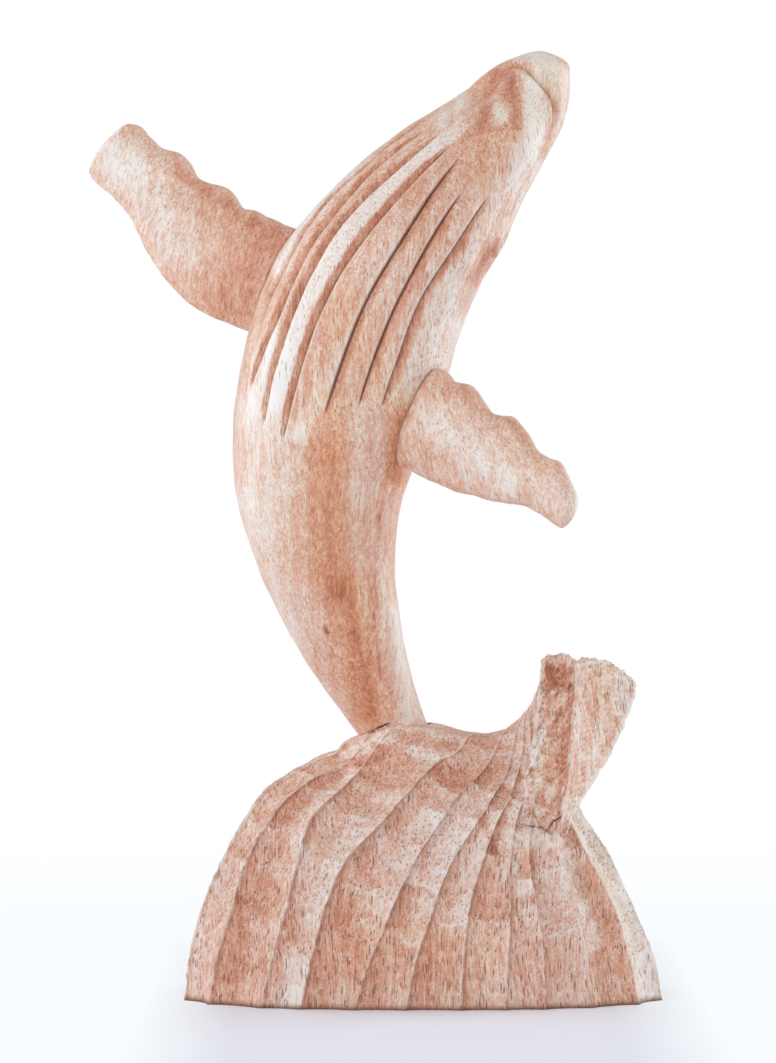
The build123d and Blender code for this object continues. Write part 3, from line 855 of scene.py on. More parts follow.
def eye_cut(points, place):
    """An eye carved in its socket, with a lid's rim, a crease to each side and a ring of painted shade
    round its ball.
    """
    centre = skin_place(place)
    along = unit(skin_place((place[0] + 0.01, place[1])) - centre)
    gap = points - centre
    lift = gap @ along
    away = np.sqrt(np.maximum((gap**2).sum(-1) - 0.45 * lift**2, 0))
    socket = -1.5 * mm * bell(away, 2.9 * mm)
    ball = np.sqrt(np.clip(eye_radius**2 - away**2, 0, None)) * 0.75
    lid = 0.45 * mm * bell(away - 3.5 * mm, 0.8 * mm)
    # Painted shade in the ring round the ball
    dark = bell(away - eye_radius - 0.1 * mm, 0.5 * mm) * (away < 4 * mm)
    return socket + ball + lid, dark * 0.8


def body_grid():
    """The body's grid of height shares and angles: columns follow the grooves and crowd beside them."""
    share = spread([-4.0 * mm / body_rise, 0.80, 0.86, 1.0], [1, 1, 1.9, 1.9], 400) * 0.9998
    anchors = [np.full(len(share), throat_sides[0])]
    anchors += [smooth(path, share)[0] for path, _ in grooves]
    anchors.append(np.full(len(share), throat_sides[1]))
    columns = []
    for k, count in enumerate(strip_columns):
        crowded = crowd(np.arange(count) / count, 0.72)
        columns.append(anchors[k][:, None] + (anchors[k + 1] - anchors[k])[:, None] * crowded)
    low, high = throat_sides[1], throat_sides[0] + 360
    stops = [low, 184, 190, 202, 210, 262, 267, 273, 278, 332, 338, 350, 356, high]
    back = spread(stops, [1.3, 1.1, 2.2, 2.2, 1, 1, 3.4, 3.4, 1, 1, 2.2, 2.2, 1.1, 1.3], 127)[:-1]
    columns.append(np.broadcast_to(back, (len(share), len(back))))
    angle = np.hstack(columns)
    return np.broadcast_to(share[:, None], angle.shape), angle


def make_body():
    """The whale's body with its grooves, mouth, eyes and fin."""
    share, angle = body_grid()
    skin = body_skin(share, angle)
    normal = -outward(skin)
    x, z = skin[..., 0] / mm, skin[..., 2] / mm
    shown = ease(normal[..., 1], 0.2, -0.25)
    tone = (stroke_tone(skin, body_strokes) + stroke_tone(skin, chin_strokes, True)) * shown
    rise, hollow, edge, shaded = (np.zeros(share.shape) for _ in range(4))
    cuts = []
    for path, gentle in grooves:
        depth, line, shade, rim = groove_cut(share, angle, path, gentle)
        cuts.append(depth)
        # Each groove's line of painted shade and its rim of painted highlight
        hollow, edge = np.maximum(hollow, line), np.maximum(edge, 0.5 * rim)
        shaded = np.maximum(shaded, shade)
        patch = wobble(skin, 16 * mm, len(path) + int(path[0][1]))
        tone = tone * (1 - 0.7 * shade) + shade * (-0.75 if gentle > 0 else -0.45) * (1 + 0.35 * patch)
    rise -= np.max(cuts, axis=0)

    # The strips between the grooves, with fine cut lines beyond the fifth groove
    throat = ease(share, 0.43, 0.55) * ease(share, 0.93, 0.80)
    long = ease(share, 0.42, 0.50) * ease(share, 0.92, 0.84)
    sides = [np.full(len(share), side) for side in throat_sides]
    sides[1:1] = [smooth(path, share[:, 0])[0] for path, _ in grooves]
    for strip, strip_tone in enumerate(strip_tones):
        left, wide = sides[strip][:, None], (sides[strip + 1] - sides[strip])[:, None]
        part = (angle - left) / wide
        bulge = strip_bulge * np.sin(np.pi * np.clip(part, 0, 1)) * ease(wide, 3, 12)
        rise += bulge * throat * (0.5 if strip in (0, len(strip_tones) - 1) else 1)
        tone += strip_tone * ((part >= 0) & (part < 1)) * long * (1 - shaded)
    fine_lines = np.sin((angle + 0.9 * wobble(skin, 12 * mm, 19)) * 2 * np.pi / 2.3)
    beyond = ease(angle - sides[5][:, None], 0, 3) * (angle < throat_sides[1] + 12)
    tone += 0.16 * fine_lines * beyond * long * shown

    # The mouth, the eyes, the fin and the hand's unevenness
    step, dark, shade = mouth_cut(share, angle, skin)
    rise += step
    # Painted shade along the mouth's line and round each eye, and under the lower jaw's rim
    hollow = np.maximum(hollow, 0.75 * dark)
    tone -= 0.5 * shade
    for place in (eye_place, (eye_place[0], 180 - eye_place[1])):
        change, dark = eye_cut(skin, place)
        rise += change
        hollow = np.maximum(hollow, dark)
    rise += fin_rise(share, angle, skin)
    rise += 0.22 * mm * wobble(skin, 21 * mm, 3) + 0.10 * mm * wobble(skin, 8 * mm, 4)
    rise *= ease(share, 1.0, 0.985)
    for to_right, height, half_width, half_height, depth, back in front_dents:
        dent = bell(x - to_right, half_width) * bell(z - height, half_height)
        rise -= depth * mm * dent * (normal[..., 1] < back)
    # A low keel under the chin with a painted highlight along it
    keel = bell(angle - 84, 5) * ease(share, 0.87, 0.91) * ease(share, 0.975, 0.96)
    rise += 0.5 * mm * keel
    points = skin + normal * rise[..., None]
    points[..., 2] = np.clip(points[..., 2], seat_height, cad_high.z)

    # What the wood shows at each point
    chin = bell(x - 33, 5) * bell(z - 277, 16) * shown
    tone += 0.09 * chin * np.sin(z * 2 * np.pi / 1.15 + 0.6 * wobble(skin, 8 * mm, 18))
    filled = 0.55 * ease(share, 0.47, 0.38) + 0.3 * ease(x, -44, -52) * ease(share, 0.6, 0.5)
    marks = {
        "tone": tone,
        # The foot's slit also gets a line of painted shade
        "hollow": np.maximum(hollow, line_mark(points, [foot_slit]) * shown),
        "edge": np.maximum(edge, 0.3 * keel),
        "dots": 0.5 * ease(share, 0.86, 0.93),
        "warm": stroke_tone(skin, body_warm_strokes) * shown,
        "filled": np.clip(filled, 0, 0.7),
    }
    piece = grid_piece("carved_whale_body", points, marks)
    cut(piece, make_crack(*foot_slit), "DIFFERENCE")
    return piece


def fin_rise(share, angle, skin):
    """The small dorsal fin's height over the grid, with its tip towards the tail."""
    root = body_skin(share[:, :1], np.full((len(share), 1), float(fin_place[1])))
    near = np.cos(np.radians(angle - fin_place[1])) > 0
    away = np.where(near, np.linalg.norm(skin - root, axis=-1), 99 * mm)
    part = (share - fin_place[0]) * body_rise / (fin_length / 2)
    bow = np.clip(1 - part**2, 0, 1) * (1 - 0.35 * part)
    return fin_height * bow * (0.8 * bell(away, 2.0 * mm) + 0.2 * bell(away, 5.5 * mm))


# The flippers
def make_flipper(name, place, reach, length, side, rows):
    """A flipper whose sections turn from the body's skin to its own reach, with a knobbed leading edge."""
    root = skin_place(place)
    out, reach = skin_normal(*place), unit(np.array(reach))
    toward_front = np.array([0.0, -1.0, 0.0])
    face = unit(toward_front - reach * (toward_front @ reach)) * side
    leading = np.cross(face, reach)
    stub = (flipper_seat_depth + flipper_lip) / length
    share = np.concatenate([np.linspace(-stub, 0, 14)[:-1], spread([0, 0.9, 1], [1, 1, 2.5], 190)])
    along = np.clip(share, 0, 1)
    turned = np.clip(along / turn_share, 0, 1)[:, None]
    across = unit(out * (1 - turned) + reach * turned)
    wide = unit(leading - across * (across @ leading)[:, None])
    thick = np.cross(across, wide)
    lift = flipper_lip * ease(along, 0.12, 0) + np.minimum(share, 0) * length
    centre = root + reach * (along * length)[:, None] + out * lift[:, None]
    lead, trail, deep = smooth(rows, along)
    tip = np.sqrt(1 - np.clip((along - flipper_tip_share) / (1 - flipper_tip_share), 0, 0.999) ** 2.2)
    turn = np.linspace(0, 2 * np.pi, 112, endpoint=False)
    cosine, sine = np.cos(turn)[None], np.sin(turn)[None]
    middle, half = (lead + trail) / 2 * flipper_half_chord, (lead - trail) / 2 * flipper_half_chord * tip
    blunt = flipper_edge_bluntness + 0.5 * ease(-cosine, 0, 1)
    bulge = np.sign(sine) * np.abs(sine) ** blunt
    x = middle[:, None] + half[:, None] * cosine
    z = (deep * flipper_half_thickness * tip)[:, None] * bulge
    evened_rows = 45
    window = np.hanning(evened_rows)
    even = np.convolve(np.pad(lead, evened_rows // 2, mode="edge"), window / window.sum(), "valid")
    knob = (lead - even)[:, None] * flipper_half_chord
    near_edge = bell((middle + half)[:, None] - x, 6.5 * mm)
    z *= 1 + 0.09 * knob / mm * near_edge
    skin = centre[:, None] + wide[:, None] * x[..., None] + thick[:, None] * z[..., None]
    gap = skin_depth(skin)
    pinch = 1 - 0.045 * bell(gap - 0.1 * mm, 0.55 * mm)
    skin = centre[:, None] + (skin - centre[:, None]) * pinch[..., None]
    normal = outward(skin)
    bumps = 0.18 * mm * wobble(skin, 15 * mm, 11 + side) + 0.10 * mm * wobble(skin, 6 * mm, 14 + side)
    bumps *= (ease(along, 0, 0.1) * ease(along, 1, 0.97))[:, None]
    skin = skin + normal * bumps[..., None]
    tone = stroke_tone(skin, flipper_strokes)
    # A dark seam where the flipper meets the body, and a painted highlight along its leading edge
    seam = bell(gap - 0.1 * mm, 0.6 * mm)
    rim = bell((middle + half)[:, None] - x, 1.4 * mm) * 0.35
    marks = {"tone": tone, "hollow": 0.7 * seam, "edge": rim, "dots": np.full(tone.shape, 0.4)}
    return grid_piece(name, skin, marks)


# The wave, whose flutes are counted from the front left round to the right; two of them face its ends
end_flutes = (10, 22)
scoop_contrast = 0.50
flute_depth, upper_flute_depth = 0.125, 0.06
fine_columns, plain_columns = 18, 12


def ring_corners(height):
    """The ridges' places round the wave at height shares, in order from the front left, as two arrays."""
    left, right, front, back = smooth(wave_levels, height)
    low, high = -left * wave_left, right * wave_right
    middle, half = (low + high) / 2, (high - low) / 2

    def reach(share):
        """How far to the front or back the rounded outline reaches at a place between its ends."""
        return (1 - np.clip(np.abs(share), 0, 1) ** wave_squareness) ** (1 / wave_squareness)

    levels = [row[0] for row in wave_levels]
    tables = [[(level, value) for level, value in zip(levels, row)] for row in ridges]
    xs = [smooth(table, height)[0] for table in tables]
    xs = [x * np.where(x < 0, wave_left, wave_right) for x in xs]
    fronts = [(x, -front * wave_depth * reach((x - middle) / half)) for x in xs]
    backs = [(x, back * wave_depth * reach((x - middle) / half)) for x in reversed(xs)]
    side = half * reach(side_ridge_share)
    front_y, back_y = -side_ridge_share * front * wave_depth, side_ridge_share * back * wave_depth
    rights = [(middle + side, front_y), (middle + side, back_y)]
    lefts = [(middle - side, back_y), (middle - side, front_y)]
    corners = np.array(fronts + rights + backs + lefts)
    return corners[:, 0].T, corners[:, 1].T


def top_places():
    """Where each ridge of the ring meets the line along the wave's top."""
    xs = [row[-1] * (wave_left if row[-1] < 0 else wave_right) for row in ridges]
    first, last = xs[0] - 1.5 * mm, xs[-1] + 1.5 * mm
    return np.array(xs + [last, last] + xs[::-1] + [first, first])


def scoops(chance, top):
    """The ends of a flute's gouge scoops along its length, short ones above and one long one below."""
    ends = [0.0, chance.uniform(17, 30) * mm]
    while ends[-1] < top:
        ends.append(ends[-1] + chance.uniform(10, 17) * mm)
    return np.array(ends)


def wave_grid():
    """The fluted skin and its plain heights, how open each row is, where each flute's columns start, and
    how far each column is from its flute's two ridges, also as a share of the flute's width."""
    height = spread([0, 0.5, 1.0], [1, 1.15, 1.3], 150)
    x, y = ring_corners(height)
    top_rows = 20
    top_steps = np.linspace(0, 1, top_rows + 1)[1:, None]
    top_x = x[-1] + (top_places() - x[-1]) * top_steps
    top_y = y[-1] * (1 - top_steps) ** 0.8
    x, y = np.vstack([x, top_x]), np.vstack([y, top_y])
    z = np.concatenate([height * wave_height, wave_height + 1.2 * mm * np.sin(top_steps[:, 0] * np.pi / 2)])
    open_share = np.concatenate([np.ones(len(height)), 1 - top_steps[:, 0]])[:, None]

    end_x, end_y = np.roll(x, -1, 1), np.roll(y, -1, 1)
    stops, parts = [0], []
    grid_x, grid_y = [], []
    for flute in range(x.shape[1]):
        count = plain_columns if flute in end_flutes else fine_columns
        part = crowd(np.arange(count)[None] / count, 0.6)
        bend = part**0.72 if flute < 8 else part
        depth = flute_depth + upper_flute_depth * ease(z, 0.2 * wave_height, 0.55 * wave_height)
        calm_top = 0.9 if flute in (23, 0, 1, 2) else 0.6
        depth *= 1 - calm_top * ease(z, 0.82 * wave_height, 0.95 * wave_height)
        dip = depth[:, None] * 4 * bend * (1 - bend) * open_share
        chord_x, chord_y = (end_x - x)[:, flute : flute + 1], (end_y - y)[:, flute : flute + 1]
        grid_x.append(x[:, flute : flute + 1] + chord_x * part - chord_y * dip)
        grid_y.append(y[:, flute : flute + 1] + chord_y * part + chord_x * dip)
        wide, part = np.hypot(chord_x, chord_y), np.broadcast_to(part, (len(x), count))
        parts.append(np.stack([wide * part, wide * (1 - part), part]))
        stops.append(stops[-1] + count)
    grid_x, grid_y = np.hstack(grid_x), np.hstack(grid_y)
    from_left, from_right, part = np.concatenate(parts, axis=2)
    grid_z = np.broadcast_to(z[:, None], grid_x.shape)
    lift = np.interp(grid_x / mm, *np.array(top_rises).T) * mm
    lift *= ease(grid_z, 0.68 * wave_height, wave_height)
    skin = np.stack([grid_x, grid_y, grid_z + lift], -1)
    return skin, grid_z, open_share, stops, from_left, from_right, part


def make_wave():
    """The wave's block with the gouge's scoops in its flutes."""
    skin, grid_z, open_share, stops, from_left, from_right, part = wave_grid()
    normal = outward(skin)
    chance = np.random.default_rng(21)
    rise, step, dots = (np.zeros(part.shape) for _ in range(3))
    tone = stroke_tone(skin, wave_strokes, True)
    for flute, (start, stop) in enumerate(zip(stops[:-1], stops[1:])):
        columns = slice(start, stop)
        line = skin[:, (start + stop) // 2]
        steps = np.linalg.norm(np.diff(line, axis=0), axis=1)
        length = np.concatenate([[0], np.cumsum(steps)])
        along = unit(np.gradient(line, axis=0))
        run = length[:, None] + ((skin[:, columns] - line[:, None]) * along[:, None]).sum(-1)
        run += 0.8 * mm * wobble(skin[:, columns], 9 * mm, 100 + flute)
        if flute in front_scoops:
            heights, tones = front_scoops[flute]
            ends = np.interp(heights, seen(line)[:, 1], length)
            ends = np.concatenate([[0.0], ends, [length[-1] + 9 * mm]])
            left_tones, right_tones = np.array(tones).T
        else:
            ends = scoops(chance, length[-1])
            # Right halves paler than left halves: painted light from the left, over random tone
            left_tones = chance.uniform(-0.5, 0.1, len(ends))
            right_tones = chance.uniform(-0.1, 0.7, len(ends))
        which = np.clip(np.searchsorted(ends, run) - 1, 0, len(ends) - 2)
        t = np.clip((run - ends[which]) / (ends[which + 1] - ends[which]), 0, 1)
        calm = np.where(which == 0, 0.35, 1)
        tilt = chance.uniform(-1.1, 1.1, len(ends))[which] * calm
        roll = chance.uniform(-1, 1, len(ends))[which] * calm
        depth = chance.uniform(0.5, 1.1, len(ends))[which] * calm
        place = part[:, columns]
        across = 4 * place * (1 - place)
        scoop = depth * 4 * t * (1 - t) - tilt * (t - 0.5) - 2.0 * roll * (place - 0.5) * across
        gentle = 1 - 0.75 * ease(skin[:, columns, 2], 0.84 * wave_height, 0.97 * wave_height)
        rise[:, columns] -= scoop * mm * (0.2 + 0.8 * across**0.5) * gentle
        side = ease(place + 0.05 * wobble(skin[:, columns], 11 * mm, 200 + flute), 0.40, 0.60)
        shade = scoop_contrast * (left_tones[which] + (right_tones - left_tones)[which] * side)
        tone[:, columns] += shade + 0.2 * (t - 0.5) * calm
        dots[:, columns] = ease(shade, 0.05, 0.25) * ease(skin[:, columns, 2], 14 * mm, 26 * mm)
        near_end = np.minimum(t, 1 - t) * (ends[which + 1] - ends[which])
        step[:, columns] = bell(near_end, 0.3 * mm) * np.where(run > ends[1] - mm, 1, 0) * across
    dots = np.maximum(dots, ease(normal[..., 2], 0.55, 0.75))
    rise += 0.16 * mm * wobble(skin, 5 * mm, 6) + 0.10 * mm * wobble(skin, 2.4 * mm, 7)
    rise *= open_share**0.5 * ease(grid_z, -0.5 * mm, 1.5 * mm)
    points = skin + normal * rise[..., None]
    points[0, :, 2] = 0.0
    # Painted highlight along each ridge between flutes, brighter higher up; painted shade just inside each
    # flute beside its left ridge, along the foot where it meets the floor, and at the steps where scoops
    # end
    ridge = bell(np.minimum(from_left, from_right), 0.32 * mm) * (0.5 + 0.5 * ease(grid_z, 0, 20 * mm))
    under = bell(from_left - 0.8 * mm, 0.4 * mm)
    rim = bell(grid_z, 1.2 * mm)
    dark = np.maximum(np.maximum(0.8 * rim, 0.16 * step), 0.10 * under * (1 - rim))
    warm = stroke_tone(skin, wave_warm_strokes)
    tone -= 0.25 * rim + 0.5 * under
    marks = {"tone": tone, "hollow": dark, "edge": ridge, "dots": dots, "warm": warm}
    return grid_piece("carved_wave", points, {}, zipped=True), points, marks


def make_crest():
    """The crest that curls up at the wave's right, with hollowed sides and a torn top."""
    rows, top_rows, columns = 150, 12, 22
    share = np.concatenate([spread([-0.16, 0, 1.0], [0.6, 1, 1.2], rows), np.ones(top_rows)])
    values = smooth(crest_corners, share) * mm
    x, y = values[0::2].T, values[1::2].T
    shrink = np.concatenate([np.ones(rows), np.linspace(1, 0.04, top_rows + 1)[1:]])[:, None]
    part = np.arange(columns) / columns
    end_x, end_y = np.roll(x, -1, 1), np.roll(y, -1, 1)
    chord_x, chord_y = (end_x - x)[..., None], (end_y - y)[..., None]
    dip = np.array(crest_hollows)[:, None] * 4 * part * (1 - part)
    grid_x = (x[..., None] + chord_x * part - chord_y * dip).reshape(len(share), -1)
    grid_y = (y[..., None] + chord_y * part + chord_x * dip).reshape(len(share), -1)
    mid_x, mid_y = grid_x.mean(1, keepdims=True), grid_y.mean(1, keepdims=True)
    ragged = np.interp(grid_x[-1] / mm, *np.array(crest_top).T) * mm
    grid_z = crest_foot + share[:, None] * (ragged - crest_foot)
    middle_z = grid_z[-1].mean() - 2.5 * mm
    grid_x, grid_y = mid_x + (grid_x - mid_x) * shrink, mid_y + (grid_y - mid_y) * shrink
    grid_z = middle_z + (grid_z - middle_z) * np.where(shrink < 1, shrink, 1)
    skin = np.stack([grid_x, grid_y, grid_z], -1)
    normal = outward(skin)
    torn = ease(share, 0.93, 1.0)[:, None]
    rise = (0.22 * wobble(skin, 7 * mm, 31) + 0.10 * wobble(skin, 2.6 * mm, 32)) * mm
    rise += torn * (0.35 * wobble(skin, 2.2 * mm, 33) + 0.25 * wobble(skin, 1.1 * mm, 34)) * mm
    scoop = np.abs(np.sin((share * 4.3)[:, None] * np.pi + 0.5 * wobble(skin, 14 * mm, 35)))
    rise += 0.3 * mm * (1 - scoop) * (1 - torn)
    rise += 0.11 * mm * wobble(skin, 1.7 * mm, 36, 9)
    points = skin + normal * rise[..., None]
    chord = np.hypot(chord_x, chord_y)
    ridge = bell((np.minimum(part, 1 - part) * chord).reshape(len(share), -1), 0.42 * mm)
    beside = np.zeros((len(share), len(crest_hollows), columns))
    beside[:, 0] = bell((1 - part) * chord[:, 0] - 1.1 * mm, 0.7 * mm)
    beside[:, 0] += 0.6 * bell(part * chord[:, 0] - 1.0 * mm, 0.5 * mm)
    beside[:, 1] = 0.5 * bell(part * chord[:, 1] - 1.1 * mm, 0.5 * mm)
    beside = beside.reshape(len(share), -1)
    valley = np.zeros(grid_x.shape)
    valley[:, :columns] = (4 * part * (1 - part))[None] ** 1.5
    rough = ease(share, 0.72, 0.85)[:, None] * (valley > 0) + ease(share, 0.45, 0.25)[:, None]
    rough = np.clip(rough, 0, 1)
    # Painted shade deepening into the valley, and a painted highlight along the ridges that wobble breaks
    # up
    tone = stroke_tone(points, crest_strokes, True) - 0.10 * valley + 0.1 * torn - 0.9 * beside
    tone += (0.15 + 0.30 * rough) * wobble(points, 1.9 * mm, 37, 9)
    ridge = ridge * (0.6 + 0.5 * wobble(points, 2.2 * mm, 38, 7)).clip(0, 1)
    dots = np.broadcast_to(ease(share, 0.5, 0.3)[:, None], tone.shape)
    marks = {"tone": tone, "hollow": 0.06 * valley * (1 - torn), "edge": 0.8 * ridge, "dots": dots}
    marks["warm"] = stroke_tone(points, crest_warm_strokes)
    return grid_piece("crest", points, {}), points, marks


def make_foot_cutter():
    """The pocket round the whale's foot, which leaves a fine open seam."""
    turn = np.linspace(0, 2 * np.pi, 120, endpoint=False)
    ring = body_skin(np.full(120, (seat_height - stub_top) / body_rise), np.degrees(turn))
    centre = ring.mean(0)
    ring = ring + unit(ring - centre) * 0.4 * mm
    heights = (seat_height - 0.4 * mm, seat_height + 14 * mm)
    rings = np.array([ring * (1, 1, 0) + (0, 0, height) for height in heights])
    return grid_piece("foot_pocket", rings, {})


def build_wave():
    """The wave and its crest as one block, with the pocket for the whale's foot."""
    wave, wave_points, wave_marks = make_wave()
    crest, crest_points, crest_marks = make_crest()
    cut(wave, crest, "UNION")
    cut(wave, make_foot_cutter(), "DIFFERENCE")
    for centre, reaches, lean, back in valley_scoops:
        cut(wave, make_scoop(centre, reaches, lean, back), "DIFFERENCE")
    for crack in cracks:
        cut(wave, make_crack(*crack), "DIFFERENCE")
    for key in ("tone", "hollow", "edge", "dots"):
        if key in wave.data.attributes:
            wave.data.attributes.remove(wave.data.attributes[key])
    points = np.vstack([wave_points.reshape(-1, 3), crest_points.reshape(-1, 3)])
    marks = {key: np.concatenate([wave_marks[key].ravel(), crest_marks[key].ravel()]) for key in wave_marks}
    copy_marks(wave, points, marks)
    wave.data.shade_smooth()
    return wave


# Materials
def add_node(tree, kind, inputs=(), **settings):
    """A node with its settings, and its inputs as values or as links from other nodes."""
    node = tree.nodes.new(kind)
    for key, value in settings.items():
        setattr(node, key, value)
    for key, value in dict(inputs).items():
        if isinstance(value, bpy.types.NodeSocket):
            tree.links.new(value, node.inputs[key])
        else:
            node.inputs[key].default_value = value
    return node


def math(tree, operation, first, second=0.0, third=0.0):
    """The result of a Math node."""
    return add_node(tree, "ShaderNodeMath", {0: first, 1: second, 2: third}, operation=operation).outputs[0]


def vector_math(tree, operation, inputs):
    """The result of a Vector Math node."""
    return add_node(tree, "ShaderNodeVectorMath", inputs, operation=operation).outputs[0]


def mapped(tree, place, **settings):
    """A place that is moved, turned or scaled."""
    return add_node(tree, "ShaderNodeMapping", {"Vector": place, **settings}).outputs[0]


def between(tree, value, low, high, to_low=0.0, to_high=1.0):
    """A value taken from one range to another, held at its ends."""
    inputs = {"Value": value, "From Min": low, "From Max": high, "To Min": to_low, "To Max": to_high}
    return add_node(tree, "ShaderNodeMapRange", inputs).outputs[0]


def noise(tree, place, size, detail=2.0, stretch=(1, 1, 1)):
    """Noise with lumps of one size, drawn out along an axis whose stretch is small."""
    inputs = {"Vector": mapped(tree, place, Scale=stretch), "Scale": 1 / size, "Detail": detail}
    return add_node(tree, "ShaderNodeTexNoise", inputs).outputs[0]


def mixed(tree, factor, first, second, blend="MIX"):
    """Two colours mixed by a factor."""
    node = add_node(tree, "ShaderNodeMix", data_type="RGBA", blend_type=blend)
    for socket, value in zip((node.inputs[0], node.inputs[6], node.inputs[7]), (factor, first, second)):
        if isinstance(value, bpy.types.NodeSocket):
            tree.links.new(value, socket)
        else:
            socket.default_value = value
    return node.outputs[2]


def scattered(tree, place, size, stretch, spots):
    """Pores as spots of one spacing, drawn out along the grain where the stretch is small."""
    inputs = {"Vector": mapped(tree, place, Scale=(1, 1, stretch)), "Scale": 1 / size, "Randomness": 1.0}
    cells = add_node(tree, "ShaderNodeTexVoronoi", inputs)
    chosen = add_node(tree, "ShaderNodeSeparateColor", {"Color": cells.outputs["Color"]}).outputs[0]
    spot = between(tree, cells.outputs["Distance"], 0.35, 0.21)
    return math(tree, "MULTIPLY", spot, between(tree, chosen, 0.75 - spots, 1.2 - spots))


def marked(tree, name):
    """One of the numbers kept at a piece's points."""
    return add_node(tree, "ShaderNodeAttribute", attribute_name=name).outputs["Fac"]


sanded_colours = [
    (0.00, (0.300, 0.095, 0.048, 1)),
    (0.20, (0.460, 0.170, 0.095, 1)),
    (0.38, (0.620, 0.278, 0.172, 1)),
    (0.54, (0.705, 0.405, 0.288, 1)),
    (0.70, (0.770, 0.580, 0.480, 1)),
    (0.85, (0.820, 0.725, 0.660, 1)),
    (1.00, (0.855, 0.810, 0.775, 1)),
]
carved_colours = [
    (0.00, (0.300, 0.100, 0.055, 1)),
    (0.20, (0.450, 0.175, 0.110, 1)),
    (0.38, (0.600, 0.277, 0.180, 1)),
    (0.54, (0.695, 0.403, 0.296, 1)),
    (0.70, (0.765, 0.575, 0.490, 1)),
    (0.85, (0.805, 0.720, 0.675, 1)),
    (1.00, (0.845, 0.805, 0.785, 1)),
]
pore_colour = (0.340, 0.135, 0.078, 1)
# Painted shade in grooves, cracks, slits, scoop ends and along the wave's foot, and the dark seam round
# each flipper
shade_and_seam_colour = (0.150, 0.052, 0.030, 1)
# Painted highlight on ridges, rims and the keel, and the pale torn fibres below the crest's crack
highlight_and_fibre_colour = (0.890, 0.780, 0.690, 1)
warm_tint = (1.04, 0.97, 0.80, 1)


def new_material(name):
    """A material with its node tree and its shader."""
    material = bpy.data.materials.new(name)
    material.use_nodes = True
    return material, material.node_tree, material.node_tree.nodes["Principled BSDF"]


